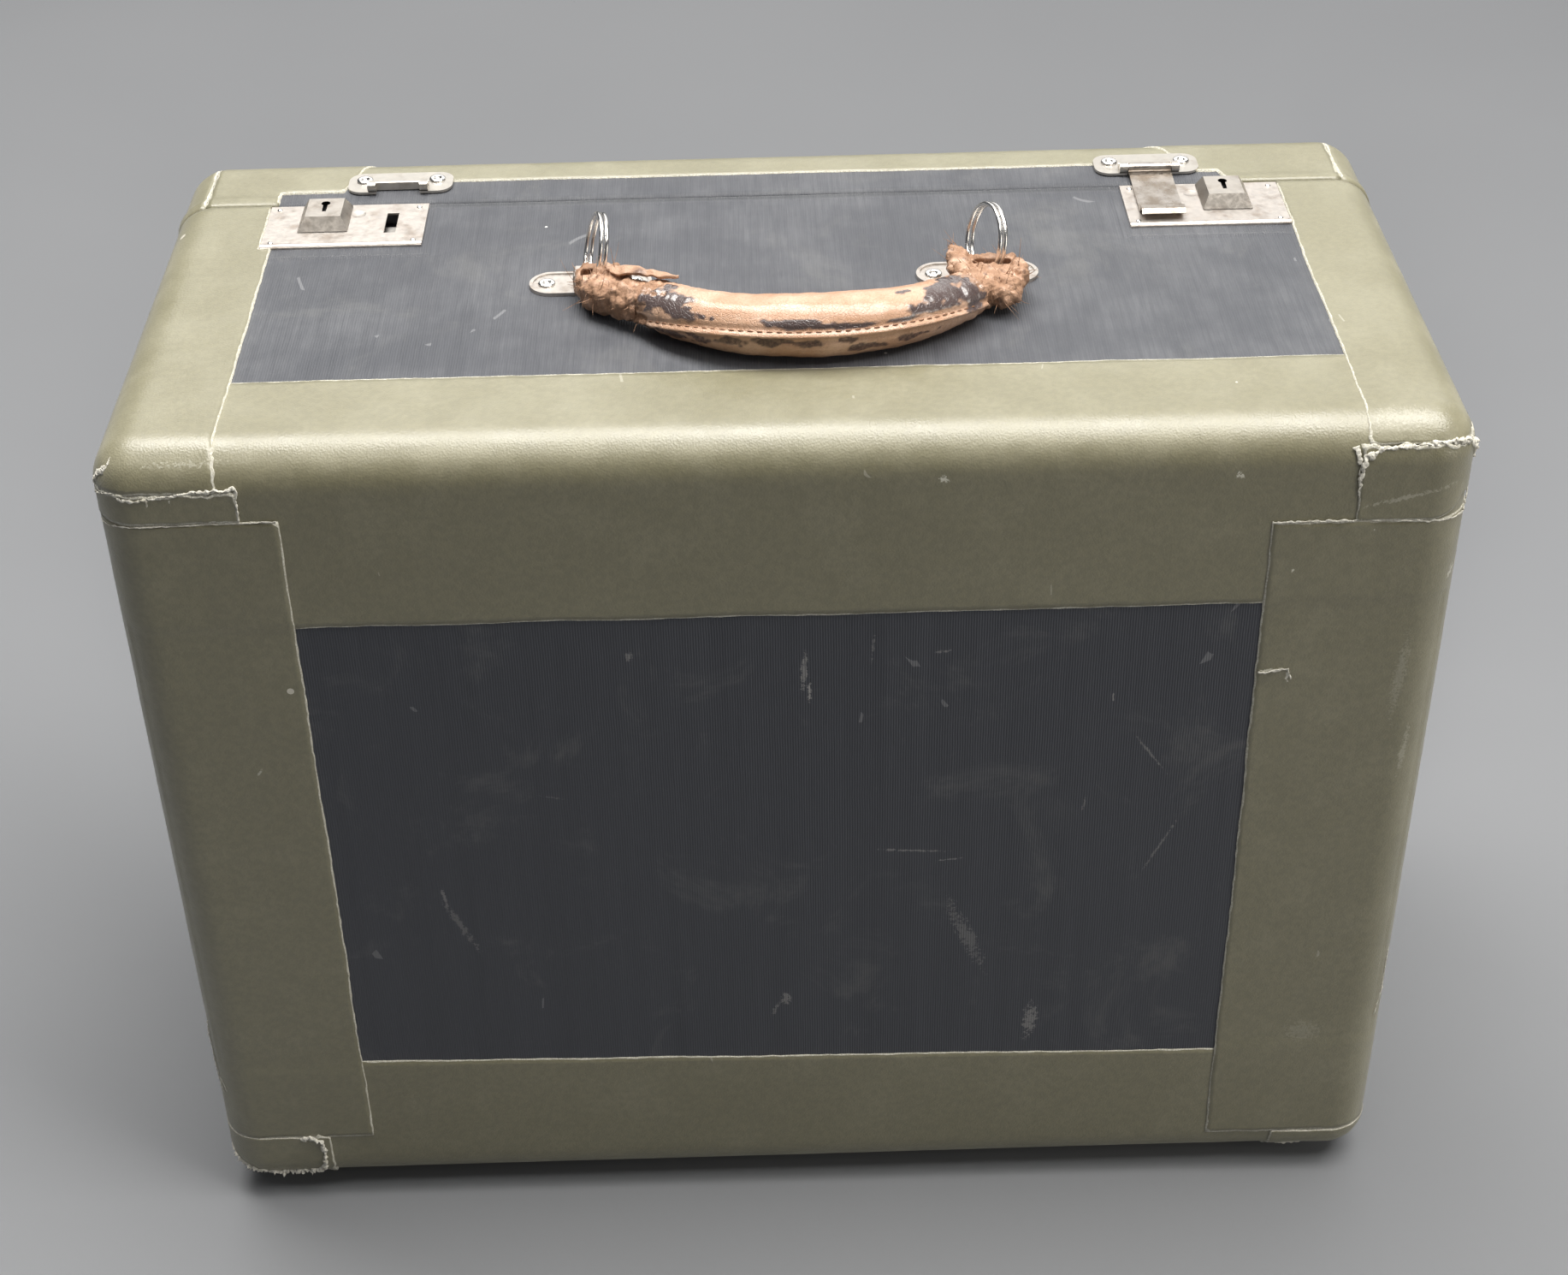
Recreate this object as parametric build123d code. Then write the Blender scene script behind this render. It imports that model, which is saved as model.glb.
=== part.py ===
from build123d import *
import math
import os

os.makedirs("parts", exist_ok=True)

# An upright travelling case: a deep body with a shallow lid behind it, hinged along the bottom of the seam.
# Millimetres. The origin is on the ground under the middle of the closed case, +X to the right seen from the
# front, +Y to the back, where the lid is, +Z up.

# Closed case, measured over its coverings
case_width = 480.0
case_depth = 236.0
case_height = 362.0
lid_depth = 47.5
edge_radius = 17.0

# Walls, from the outside in
strip_thickness = 0.5
band_thickness = 0.5
cloth_thickness = 0.6
board_thickness = 8.0
lining_thickness = 0.5
seam_gap = 0.4
skin_gap = 0.3

# Wooden lip inside the mouth of the body, which centres the lid
lip_thickness = 3.2
lip_in_body = 14.0
lip_in_lid = 8.0
lip_clearance = 0.4

# Olive coverings: how far each one reaches from the edges of the case
top_band_on_top = 50.0
top_band_on_front = 73.0
bottom_band_on_front = 69.0
border_on_side = 50.0
left_strip_width = 64.5
right_strip_width = 71.0
left_strip_from_ends = (30.0, 27.4)
right_strip_from_ends = (17.5, 39.0)
top_strip_width = (44.3, 40.0)
top_strip_front_drop = (15.0, 8.0)
top_strip_on_side = 44.0
bottom_strip_width = 44.0
bottom_strip_front_rise = 3.0
bottom_strip_on_side = 50.0
patch_width = (51.4, 42.0)
patch_on_side = 33.0
lid_band_from_back = 28.0
lid_band_on_back = 70.0
lid_corner_width = 42.0

# Feet
foot_x = 212.0
foot_y = (-92.0, 46.0)
foot_height = 7.0
foot_radius = 8.0
foot_flat_radius = 5.0
foot_bulge = (7.3, 2.6)
foot_shank_radius = 1.2
foot_shank_length = 6.5

# Locks, one each side, on the top next to the seam
lock_x = 168.8
lock_width = 62.5
lock_depth = 35.5
lock_edge = 0.8
plate_thickness = 0.8
lock_ridge_radius = 1.6
button_from_lock_x = 8.6
button_base = (19.5, 22.0)
button_top = (14.0, 15.5)
button_height = 4.0
button_lift = 0.25
button_travel = 5.5
button_back_slope = 1.0
keyhole_radius = 1.7
keyhole_width = 1.6
keyhole_length = 7.0
keyhole_depth = 1.6
button_front_from_seam = 24.0
stem_size = (5.6, 7.0)
slide_clearance = 0.3
dimple_radius = 2.9
dimple_depth = 0.45
dimple_back = 4.0
slot_x = 151.0
slot_width = 4.6
slot_from_seam = (8.8, 25.5)
lock_case_width = 48.0
lock_case_length = 29.0
lock_case_depth = 6.4
lock_case_from_back = 3.7
lock_case_wall = 0.6
bolt_thickness = 1.3
bolt_drop = 2.4
bolt_width = 12.0
bolt_nose_width = 5.6
bolt_nose_reach = 3.4
bolt_shoulder_gap = 1.2
bolt_tail_reach = 8.0
spring_thickness = 0.3
spring_half_length = 7.0
nail_radius = 0.6
nail_head_radius = 1.0
nail_head_height = 0.5
nail_length = 6.0
lock_nail_inset = (3.6, 4.2, 3.2)

# Hasp brackets on the lid, opposite the locks
bracket_x = 150.6
bracket_width = 42.0
bracket_from_seam = (9.0, 26.0)
bracket_thickness = 1.0
bracket_corner = 6.0
bracket_rivet_x = 14.6
bracket_rivet_back = 2.0
hasp_axis_from_seam = 10.2
hasp_axis_height = 3.3
knuckle_radius = 1.9
hasp_width = 17.0
ear_width = 3.2
ear_gap = 0.3
ear_web = 0.4
hood_gap = 0.6
hood_depth = 2.4
hood_rise = 0.6
hood_round = 0.8
hasp_thickness = 0.9
hasp_rest_gap = 0.35
hasp_front_from_seam = 24.5
lip_height = 2.9
lip_slope = 1.8
lip_reach = 5.0
lip_drop = 1.4
lip_round = 0.8
staple_thickness = 1.4
staple_bar = 1.3
staple_play = (1.6, 2.2)
staple_bolt_gap = 0.4
hasp_pin_radius = 0.85
pin_clearance = 0.05

# Handle plates and split rings
plate_pitch = 145.4
plate_shift = 2.1
handle_y = -1.0
handle_plate_length = 46.0
handle_plate_width = 17.0
handle_plate_thickness = 1.0
handle_rim_width = 1.3
handle_rim_height = 0.5
bridge_length = 8.0
tunnel_width = 10.4
tunnel_height = 4.0
bridge_wall = 1.1
rivet_offset = 16.5
rivet_shank_radius = 1.6
rivet_head_radius = 3.4
rivet_head_height = 1.3
rivet_eye_radius = 1.3
rivet_tail_radius = 3.6
rivet_tail_height = 0.9
ring_radius = 12.9
ring_wire_radius = 0.8
ring_turns = 1.8
ring_pitch = 2.1
ring_sides = 8
ring_lean = 13.0
ring_yaw = (8.0, 17.0)
ring_rest_gap = 0.8

# Leather handle
eye_angle = 40.0
handle_swing = 170.0
grip_arc_radius = 80.4
grip_reach = 46.8
grip_shift = 4.5
grip_half_angle = 45.0
grip_rest_gap = 0.3
grip_middle = (12.2, 11.4)
grip_end = (9.4, 8.4)
grip_sections = 9
leather_thickness = 2.2
core_share = 0.9
seam_tilt = 6.0
seam_size = (3.6, 1.8)
eye_gap = 1.0
eye_play = 1.45
loop_thickness = 2.4
loop_height = 10.5
loop_roundness = 0.8
loop_start_share = 0.93
loop_under_grip = 1.0
shoulder_size = (15.5, 12.5)
shoulder_from_eye = (-2.0, 13.0, 1.0)

# Hinges under the bottom edge of the seam
hinge_x = 130.0
hinge_length = 50.0
leaf_width = 18.0
leaf_thickness = 1.0
hinge_barrel_radius = 2.7
hinge_pin_radius = 1.2
hinge_axis_drop = 2.9
knuckle_count = 5
knuckle_gap = 0.2
leaf_nail_from_axis = 11.0
leaf_nail_spread = 17.0

left, right = -case_width / 2, case_width / 2
front, back = -case_depth / 2, case_depth / 2
bottom, top = foot_height, foot_height + case_height
seam = back - lid_depth

band_inset = strip_thickness
cloth_inset = band_inset + band_thickness
wood_inset = cloth_inset + cloth_thickness
room_inset = wood_inset + board_thickness
lining_inset = room_inset + lining_thickness
far = case_width + case_height

top_cloth = top - cloth_inset
bottom_cloth = bottom + cloth_inset
lid_front = seam + seam_gap / 2
body_back = seam - seam_gap / 2

parts = {}
on_base = (Align.CENTER, Align.CENTER, Align.MIN)


def span(x, y, z):
    """Box between two values on each axis, given in either order."""
    low = [min(pair) for pair in (x, y, z)]
    size = [abs(pair[1] - pair[0]) for pair in (x, y, z)]
    return Pos(*low) * Box(*size, align=Align.MIN)


def region(x=(-far, far), y=(-far, far), z=(-far, far)):
    """Everything between the given values, without limit on the axes that are left out."""
    return span(x, y, z)


def rounded_block(inset):
    """The whole closed case, drawn in from its outer surface by an inset."""
    ends = [(left + inset, right - inset), (front + inset, back - inset), (bottom + inset, top - inset)]
    block = span(*ends)
    return fillet(block.edges(), edge_radius - inset)


def rod(radius, length, point, direction):
    """Round bar that starts at a point and runs along a direction."""
    return Plane(origin=point, z_dir=direction) * Cylinder(radius, length, align=on_base)


def without(solid, *tools):
    """A solid with each tool cut away from it."""
    for tool in tools:
        solid = solid - tool
    return solid


def cut(nodes, *tools):
    """Cut each tool away from the named parts."""
    for node in nodes:
        parts[node] = without(parts[node], *tools)


def group(solids):
    """Separate solids kept together as one part."""
    return Compound(children=[piece for solid in solids for piece in solid.solids()])


body_half = region(y=(-far, body_back))
lid_half = region(y=(lid_front, far))
sides = (-1, 1)
side_names = {-1: "left", 1: "right"}


# Boards
# The boards of each half are mitred at the four long corners, and their outer edges are rounded over.

def wall_wedge(name):
    """The part of the case that belongs to one of its four walls, bounded by the mitres."""
    corner_signs = {"right": ((1, -1), (1, 1)), "top": ((1, 1), (-1, 1)),
                    "left": ((-1, 1), (-1, -1)), "bottom": ((-1, -1), (1, -1))}
    reach = 3 * edge_radius
    outer, inner = [], []
    for sign_x, sign_z in corner_signs[name]:
        x = right if sign_x > 0 else left
        z = top if sign_z > 0 else bottom
        outer.append((x + sign_x * reach, -far, z + sign_z * reach))
        inner.append((x - sign_x * reach, -far, z - sign_z * reach))
    outline = Polyline(outer[0], outer[1], inner[1], inner[0], close=True)
    return extrude(make_face(outline), amount=2 * far, dir=(0, 1, 0))


wood = rounded_block(wood_inset)
room = span((left + room_inset, right - room_inset), (front + room_inset, back - room_inset),
            (bottom + room_inset, top - room_inset))
front_room = front + room_inset
back_room = back - room_inset

parts["front_board"] = wood & region(y=(-far, front_room))
parts["lid_panel"] = wood & region(y=(back_room, far))
walls = wood - room
for wall in ("top", "bottom", "left", "right"):
    wedge = wall_wedge(wall)
    parts[wall + "_board"] = walls & wedge & region(y=(front_room, body_back))
    parts["lid_" + wall + "_rim"] = walls & wedge & region(y=(lid_front, back_room))


# Linings and lip

def tray(inset_outer, inset_inner, y_open, y_floor):
    """Thin five-sided lining, open at one end, that lies on the inner faces of a half."""
    step = inset_inner - inset_outer
    toward_mouth = 1 if y_open > y_floor else -1
    outer = span((left + inset_outer, right - inset_outer), (y_floor, y_open),
                 (bottom + inset_outer, top - inset_outer))
    hollow = (y_floor + toward_mouth * step, toward_mouth * far)
    inner = span((left + inset_inner, right - inset_inner), hollow, (bottom + inset_inner, top - inset_inner))
    return outer - inner


def frame_ring(outer_inset, inner_inset, y_from, y_to):
    """Rectangular frame that follows the mouth of the case."""
    outer = span((left + outer_inset, right - outer_inset), (y_from, y_to),
                 (bottom + outer_inset, top - outer_inset))
    inner = region(x=(left + inner_inset, right - inner_inset), z=(bottom + inner_inset, top - inner_inset))
    return outer - inner


parts["body_lining"] = tray(room_inset, lining_inset, body_back, front_room)
parts["lid_lining"] = tray(room_inset, lining_inset, lid_front, back_room)
lip_inner = lining_inset + lip_thickness
parts["lip_strip"] = (frame_ring(lining_inset, lip_inner, body_back - lip_in_body, body_back)
                      + frame_ring(lining_inset + lip_clearance, lip_inner, body_back, seam + lip_in_lid))


# Coverings
# Black cloth lies on the wood all over. Olive bands cross the front over it, and olive strips and corner
# patches lie on the bands along the ends.

cloth_layer = rounded_block(cloth_inset) - wood
band_layer = rounded_block(band_inset) - rounded_block(cloth_inset)
strip_layer = rounded_block(0) - rounded_block(band_inset)

parts["body_cloth"] = cloth_layer & body_half
parts["lid_cloth"] = cloth_layer & lid_half
border_y = front + border_on_side
top_border_y = front + top_band_on_top
parts["top_front_band"] = band_layer & region(y=(-far, top_border_y), z=(top - top_band_on_front, far))
parts["bottom_front_band"] = band_layer & region(y=(-far, border_y), z=(-far, bottom + bottom_band_on_front))
lid_band_y = back - lid_band_from_back
parts["lid_top_band"] = band_layer & region(y=(lid_band_y, far), z=(top - lid_band_on_back, far))
parts["lid_bottom_band"] = band_layer & region(y=(lid_band_y, far), z=(-far, bottom + lid_band_on_back))


def from_end(side, distance):
    """X range of everything within a distance of the left or right end."""
    return (side * (case_width / 2 - distance), side * far)


patches = []
bottom_strips = []
for index, side in enumerate(sides):
    name = side_names[side]
    width = (left_strip_width, right_strip_width)[index]
    from_bottom, from_top = (left_strip_from_ends, right_strip_from_ends)[index]
    low, high = bottom + from_bottom, top - from_top
    front_end = top - top_strip_front_drop[index]
    side_y = front + edge_radius

    parts[name + "_front_strip"] = strip_layer & region(from_end(side, width), (-far, border_y), (low, high))
    over_top = region(from_end(side, top_strip_width[index]), (-far, body_back), (front_end, far))
    down_side = region(from_end(side, edge_radius), (side_y, body_back), (top - top_strip_on_side, far))
    past_front_strip = region(y=(-far, border_y + skin_gap), z=(-far, high + skin_gap))
    parts[name + "_top_strip"] = strip_layer & (over_top + (down_side - past_front_strip))

    bottom_end = bottom + bottom_strip_front_rise
    under = region(from_end(side, bottom_strip_width), (-far, body_back), (-far, bottom_end))
    up_side = region(from_end(side, edge_radius), (side_y, body_back), (-far, bottom + bottom_strip_on_side))
    past_front_strip = region(y=(-far, border_y + skin_gap), z=(low - skin_gap, far))
    bottom_strips.append(strip_layer & (under + (up_side - past_front_strip)))

    reach = from_end(side, patch_width[index])
    for z in ((high + skin_gap, front_end - skin_gap), (bottom_end + skin_gap, low - skin_gap)):
        patches.append(strip_layer & region(reach, (-far, side_y - skin_gap), z))

    corner_x = from_end(side, lid_corner_width)
    up_back = region(from_end(side, width), (lid_band_y, far), (bottom + edge_radius, top - edge_radius))
    along_rim = region(corner_x, (lid_front, far), (top - top_strip_on_side, far))
    under_rim = region(corner_x, (lid_front, far), (-far, bottom + bottom_strip_on_side))
    parts["lid_" + name + "_strip"] = strip_layer & (up_back + along_rim + under_rim)
parts["corner_patches"] = group(patches)
parts["bottom_strips"] = group(bottom_strips)


# Feet
# Domed metal glides, each with a shank driven into the bottom board.

def foot(x, y):
    """One glide, turned about its upright middle line."""
    shank_top = foot_height + foot_shank_length
    outline = [
        Line((0, 0), (foot_flat_radius, 0)),
        ThreePointArc((foot_flat_radius, 0), foot_bulge, (foot_radius, foot_height)),
        Polyline((foot_radius, foot_height), (foot_shank_radius, foot_height),
                 (foot_shank_radius, shank_top), (0, shank_top), (0, 0)),
    ]
    return Pos(x, y, 0) * revolve(Plane.XZ * make_face(outline), Axis.Z)


feet = [foot(side * foot_x, y) for side in sides for y in foot_y]
parts["feet"] = group(feet)


# Nails and rivets

def nail(x, y, z, turn=0):
    """Small domed nail with its head on a surface at height z. Turned by 180, it is driven upward."""
    head = Cylinder(nail_head_radius, nail_head_height, align=on_base)
    head = fillet(head.edges().sort_by(Axis.Z)[-1], 0.8 * nail_head_height)
    return Pos(x, y, z) * Rot(turn, 0, 0) * (head + rod(nail_radius, nail_length, (0, 0, 0), (0, 0, -1)))


def rivet(x, y, head_z, tail_z):
    """Tubular rivet with an eye in its domed head and a flat tail clenched inside the case."""
    head = Cylinder(rivet_head_radius, rivet_head_height, align=on_base)
    head = fillet(head.edges().sort_by(Axis.Z)[-1], 0.7 * rivet_head_height)
    head -= Cylinder(rivet_eye_radius, rivet_head_height, align=on_base)
    grip_length = head_z - tail_z
    shank = rod(rivet_shank_radius, grip_length, (0, 0, 0), (0, 0, -1))
    tail = rod(rivet_tail_radius, rivet_tail_height, (0, 0, -grip_length), (0, 0, -1))
    return Pos(x, y, head_z) * (head + shank + tail)


# Locks
# Each lock is a stamped plate with a rolled front edge. A case let into the top board holds a bolt, which a
# slide button on the plate draws outward against a bow spring to let go of the hasp's staple.

plate_top = top_cloth + plate_thickness
lock_back = seam - lock_edge
lock_y = (lock_back - lock_depth, lock_back)
case_y = (lock_back - lock_case_from_back - lock_case_length, lock_back - lock_case_from_back)
case_floor = top_cloth - lock_case_depth
button_y = (seam - button_front_from_seam, seam - button_front_from_seam + button_base[1])
stem_y = sum(button_y) / 2
bolt_z = (top_cloth - bolt_drop - bolt_thickness, top_cloth - bolt_drop)
slot_y = (seam - slot_from_seam[1], seam - slot_from_seam[0])
staple_y = (slot_y[0] + staple_play[0], slot_y[1] - staple_play[1])
staple_middle = sum(staple_y) / 2


def around(center, width):
    """The two ends of a width about its center."""
    return (center - width / 2, center + width / 2)


def lock_plate(side, nails):
    """Stamped plate with its rolled front edge, staple slot, button window and finger dimple."""
    x = side * lock_x
    button_x = side * (lock_x + button_from_lock_x)
    plate = span(around(x, lock_width), lock_y, (top_cloth, plate_top))
    ridge_start = (x - lock_width / 2, lock_y[0] + lock_ridge_radius, top_cloth)
    plate += rod(lock_ridge_radius, lock_width, ridge_start, (1, 0, 0)) & region(z=(top_cloth, far))
    slot = region(around(side * slot_x, slot_width), slot_y)
    stem_near = button_x - side * (stem_size[0] / 2 + slide_clearance)
    stem_far = button_x + side * (stem_size[0] / 2 + button_travel + slide_clearance)
    window = region((stem_near, stem_far), around(stem_y, stem_size[1] + 2 * slide_clearance))
    ball_radius = (dimple_radius**2 + dimple_depth**2) / (2 * dimple_depth)
    dimple_x = button_x - side * (button_base[0] / 2 + dimple_radius)
    dimple = Pos(dimple_x, stem_y + dimple_back, plate_top + ball_radius - dimple_depth) * Sphere(ball_radius)
    return without(plate, slot, window, dimple, *nails)


def lock_case(side):
    """Open steel tray under the plate."""
    wall = lock_case_wall
    x = around(side * lock_x, lock_case_width)
    return span(x, case_y, (case_floor, top_cloth)) - region(
        (x[0] + wall, x[1] - wall), (case_y[0] + wall, case_y[1] - wall), (case_floor + wall, far))


def slide_button(side):
    """Button with four sloping sides and a keyhole, on a stem that reaches down to the bolt."""
    x = side * (lock_x + button_from_lock_x)
    low = plate_top + button_lift
    base = Pos(x, stem_y, low) * Rectangle(*button_base)
    crown_y = button_y[1] - button_top[1] / 2 - button_back_slope
    crown = Pos(x, crown_y, low + button_height) * Rectangle(*button_top)
    button = loft([base.faces()[0], crown.faces()[0]], ruled=True)
    button += span(around(x, stem_size[0]), around(stem_y, stem_size[1]), (bolt_z[1], low))
    round_end = (x, crown_y + keyhole_length / 2, low + button_height)
    keyhole = rod(keyhole_radius, keyhole_depth, round_end, (0, 0, -1))
    keyhole += span(around(x, keyhole_width), around(crown_y, keyhole_length),
                    (low + button_height - keyhole_depth, low + button_height))
    return button - keyhole


def bolt(side):
    """Flat sliding bolt, whose nose passes through the staple."""
    tail_x = side * (lock_x + button_from_lock_x + bolt_tail_reach)
    nose_x = side * (slot_x - bolt_nose_reach)
    shoulder_x = side * (slot_x + slot_width / 2 + bolt_shoulder_gap)
    plate = span((shoulder_x, tail_x), around(stem_y, bolt_width), bolt_z)
    return plate + span((nose_x, tail_x), around(staple_middle, bolt_nose_width), bolt_z)


def bow_spring(side):
    """Flat steel spring, bowed between the bolt's tail and the end wall of the case."""
    bolt_tail = side * (lock_x + button_from_lock_x + bolt_tail_reach)
    wall = side * (lock_x + lock_case_width / 2 - lock_case_wall)
    clear = side * spring_thickness
    curve = ThreePointArc((wall - clear, stem_y - spring_half_length), (bolt_tail + clear, stem_y),
                          (wall - clear, stem_y + spring_half_length))
    strip = Pos(0, 0, bolt_z[0]) * trace(curve, spring_thickness)
    return extrude(strip, amount=bolt_thickness, dir=(0, 0, 1))


nail_x = lock_width / 2 - lock_nail_inset[0]
nail_rows = (lock_y[0] + lock_nail_inset[1], lock_y[1] - lock_nail_inset[2])
body_nails = []
for side in sides:
    name = side_names[side]
    nails = [nail(side * lock_x + sign * nail_x, y, plate_top) for sign in sides for y in nail_rows]
    body_nails += nails
    parts[name + "_lock_plate"] = lock_plate(side, nails)
    parts[name + "_lock_case"] = lock_case(side)
    parts[name + "_button"] = slide_button(side)
    parts[name + "_bolt"] = bolt(side)
    parts[name + "_bolt_spring"] = bow_spring(side)
    pocket = region(around(side * lock_x, lock_case_width), case_y, (case_floor, far))
    plate_place = around(side * lock_x, lock_width + 2 * skin_gap)
    cut(("top_board", "body_cloth"), pocket, *nails)
    cut((name + "_top_strip",), region(plate_place, (lock_y[0] - skin_gap, far), (top_cloth, far)))


# Hasp brackets and the right hasp
# Both brackets are riveted to the lid's rim. The left hasp is missing, so its bracket is empty.

bracket_z = (top - band_inset, top - band_inset + bracket_thickness)
bracket_y = (seam + bracket_from_seam[0], seam + bracket_from_seam[1])
hasp_axis_y = seam + hasp_axis_from_seam
hasp_axis_z = top_cloth + hasp_axis_height
bracket_rivet_y = sum(bracket_y) / 2 + bracket_rivet_back
lining_z = top - lining_inset


def hasp_bracket(side, rivets):
    """Riveted plate with two ears for the hasp's pin and a raised hood behind its knuckle."""
    depth = bracket_y[1] - bracket_y[0]
    plate = Pos(side * bracket_x, sum(bracket_y) / 2, bracket_z[0]) * extrude(
        RectangleRounded(bracket_width, depth, bracket_corner), bracket_thickness)
    well_x = around(side * slot_x, hasp_width + 2 * ear_gap)
    ears_x = (well_x[0] - ear_width, well_x[1] + ear_width)
    barrel = rod(knuckle_radius, ears_x[1] - ears_x[0], (ears_x[0], hasp_axis_y, hasp_axis_z), (1, 0, 0))
    web = span(ears_x, (hasp_axis_y - ear_web, hasp_axis_y + knuckle_radius), (bracket_z[0], hasp_axis_z))
    hood_y = hasp_axis_y + knuckle_radius + hood_gap
    hood = span(ears_x, (hood_y, hood_y + hood_depth), (bracket_z[0], hasp_axis_z + hood_rise))
    hood = fillet(hood.edges().filter_by(Axis.X).sort_by(Axis.Z)[-2:], hood_round)
    well = region(well_x, (-far, hood_y))
    hole = rod(hasp_pin_radius, ears_x[1] - ears_x[0], (ears_x[0], hasp_axis_y, hasp_axis_z), (1, 0, 0))
    return without(plate + barrel + web + hood, well, hole, *rivets)


def right_hasp():
    """Hasp with a rolled knuckle, a flat blade, a finger lip at its end and a staple under it."""
    x = around(slot_x, hasp_width)
    low = plate_top + hasp_rest_gap
    middle = low + hasp_thickness / 2
    lip_y = seam - hasp_front_from_seam
    knuckle = rod(knuckle_radius, hasp_width, (x[0], hasp_axis_y, hasp_axis_z), (1, 0, 0))
    lip_z = middle + lip_height
    lip_end = lip_y - lip_reach
    blade_line = FilletPolyline((hasp_axis_y, middle), (lip_y, middle), (lip_y - lip_slope, lip_z),
                                (lip_end, lip_z), (lip_end - lip_drop, lip_z - lip_drop), radius=lip_round)
    side_plane = Plane(origin=(x[0], 0, 0), x_dir=(0, 1, 0), z_dir=(1, 0, 0))
    blade = extrude(side_plane * trace(blade_line, hasp_thickness), amount=hasp_width, dir=(1, 0, 0))
    staple_low = bolt_z[0] - staple_bolt_gap - staple_bar
    staple = span(around(slot_x, staple_thickness), staple_y, (staple_low, middle))
    staple -= region(y=(staple_y[0] + staple_bar, staple_y[1] - staple_bar), z=(staple_low + staple_bar, low))
    bore = rod(hasp_pin_radius + pin_clearance, hasp_width, (x[0], hasp_axis_y, hasp_axis_z), (1, 0, 0))
    return knuckle + blade + staple - bore


bracket_rivets = []
for side in sides:
    rivet_x = [side * bracket_x + sign * bracket_rivet_x for sign in sides]
    rivets = [rivet(x, bracket_rivet_y, bracket_z[1], lining_z) for x in rivet_x]
    bracket_rivets += rivets
    parts[side_names[side] + "_hasp_bracket"] = hasp_bracket(side, rivets)
parts["bracket_rivets"] = group(bracket_rivets)
cut(("lid_top_rim", "lid_cloth", "lid_top_band", "lid_lining"), *bracket_rivets)
parts["right_hasp"] = right_hasp()
pin_length = hasp_width + 2 * ear_gap + 2 * ear_width
pin_start = (slot_x - pin_length / 2, hasp_axis_y, hasp_axis_z)
parts["right_hasp_pin"] = rod(hasp_pin_radius, pin_length, pin_start, (1, 0, 0))


# Handle plates and split rings
# The rings stand up through the bridges of their plates, leaning a little as the leather holds them.

handle_plate_top = top_cloth + handle_plate_thickness
tunnel_top = handle_plate_top + tunnel_height
ring_z = handle_plate_top + ring_rest_gap + ring_wire_radius
lean = math.radians(ring_lean)
lean_x = ring_radius * math.sin(lean)
swing_z = ring_z + ring_radius * math.cos(lean)
coil_width = ring_turns * ring_pitch
ring_x = [plate_shift + side * plate_pitch / 2 for side in sides]


def handle_plate(x, rivets):
    """Round-ended plate with a raised rim and a bridge across its middle."""
    outline = SlotOverall(handle_plate_length, handle_plate_width)
    plate = extrude(outline, handle_plate_thickness + handle_rim_height)
    field = extrude(offset(outline, -handle_rim_width), handle_rim_height)
    plate = Pos(x, handle_y, top_cloth) * (plate - Pos(0, 0, handle_plate_thickness) * field)
    bridge = span(around(x, tunnel_width + 2 * bridge_wall), around(handle_y, bridge_length),
                  (top_cloth, tunnel_top + bridge_wall))
    bridge = fillet(bridge.edges().filter_by(Axis.Y).sort_by(Axis.Z)[-2:], bridge_wall)
    tunnel = region(around(x, tunnel_width), z=(handle_plate_top, tunnel_top))
    return without(plate + bridge, tunnel, *rivets)


def split_ring(x, yaw):
    """Ring wound from one wire, its lowest point in the tunnel of a bridge."""
    coil = Helix(ring_pitch, coil_width, ring_radius, center=(0, 0, -coil_width / 2))
    section = Plane(origin=coil @ 0, z_dir=coil % 0) * RegularPolygon(ring_wire_radius, ring_sides)
    ring = sweep(section, path=coil, is_frenet=True)
    return Pos(x + lean_x, handle_y, swing_z) * Rot(0, 0, yaw) * Rot(0, ring_lean + 90, 0) * ring


print("gap between the turns of a ring", ring_pitch - 2 * ring_wire_radius)
handle_rivets = []
for side, x, yaw in zip(sides, ring_x, ring_yaw):
    name = side_names[side]
    rivets = [rivet(x + sign * rivet_offset, handle_y, handle_plate_top, lining_z) for sign in sides]
    handle_rivets += rivets
    parts[name + "_handle_plate"] = handle_plate(x, rivets)
    parts[name + "_ring"] = split_ring(x, yaw)
parts["handle_rivets"] = group(handle_rivets)
cut(("top_board", "body_cloth", "body_lining"), *handle_rivets)


# Leather handle
# A padded grip, bowed forward and lying on the case, with a loop of leather round the low front of each ring.
# The handle swings about the line through the middles of the rings.

eye = math.radians(eye_angle)
track_radius = ring_radius * math.cos(lean)
eye_y = handle_y - track_radius * math.cos(eye)
eye_z = swing_z - track_radius * math.sin(eye)


def eye_range(x, yaw):
    """How far a ring reaches along X over all places where the swinging loop meets it."""
    half_span = math.degrees(math.asin(loop_height / 2 / ring_radius))
    first = -eye_angle - half_span
    angles = [math.radians(first + k * (handle_swing + 2 * half_span) / 40) for k in range(41)]
    forward = ring_radius * math.sin(math.radians(yaw))
    places = [x + lean_x + forward * math.cos(angle) + lean_x * math.sin(angle) for angle in angles]
    half_coil = (coil_width / 2 + ring_wire_radius) / math.cos(math.radians(yaw)) + eye_gap
    return (min(places) - half_coil, max(places) + half_coil)


eyes = [eye_range(x, yaw) for x, yaw in zip(ring_x, ring_yaw)]
grip_x = sum(sum(pair) / 2 for pair in eyes) / 2 + grip_shift
grip_rise = top_cloth + grip_rest_gap + grip_middle[1] - eye_z
tilt_up = math.asin(grip_rise / grip_reach)
grip_normal = (0, math.sin(tilt_up), math.cos(tilt_up))
grip_plane = Plane(origin=(grip_x, eye_y, eye_z), x_dir=(1, 0, 0), z_dir=grip_normal)


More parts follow.
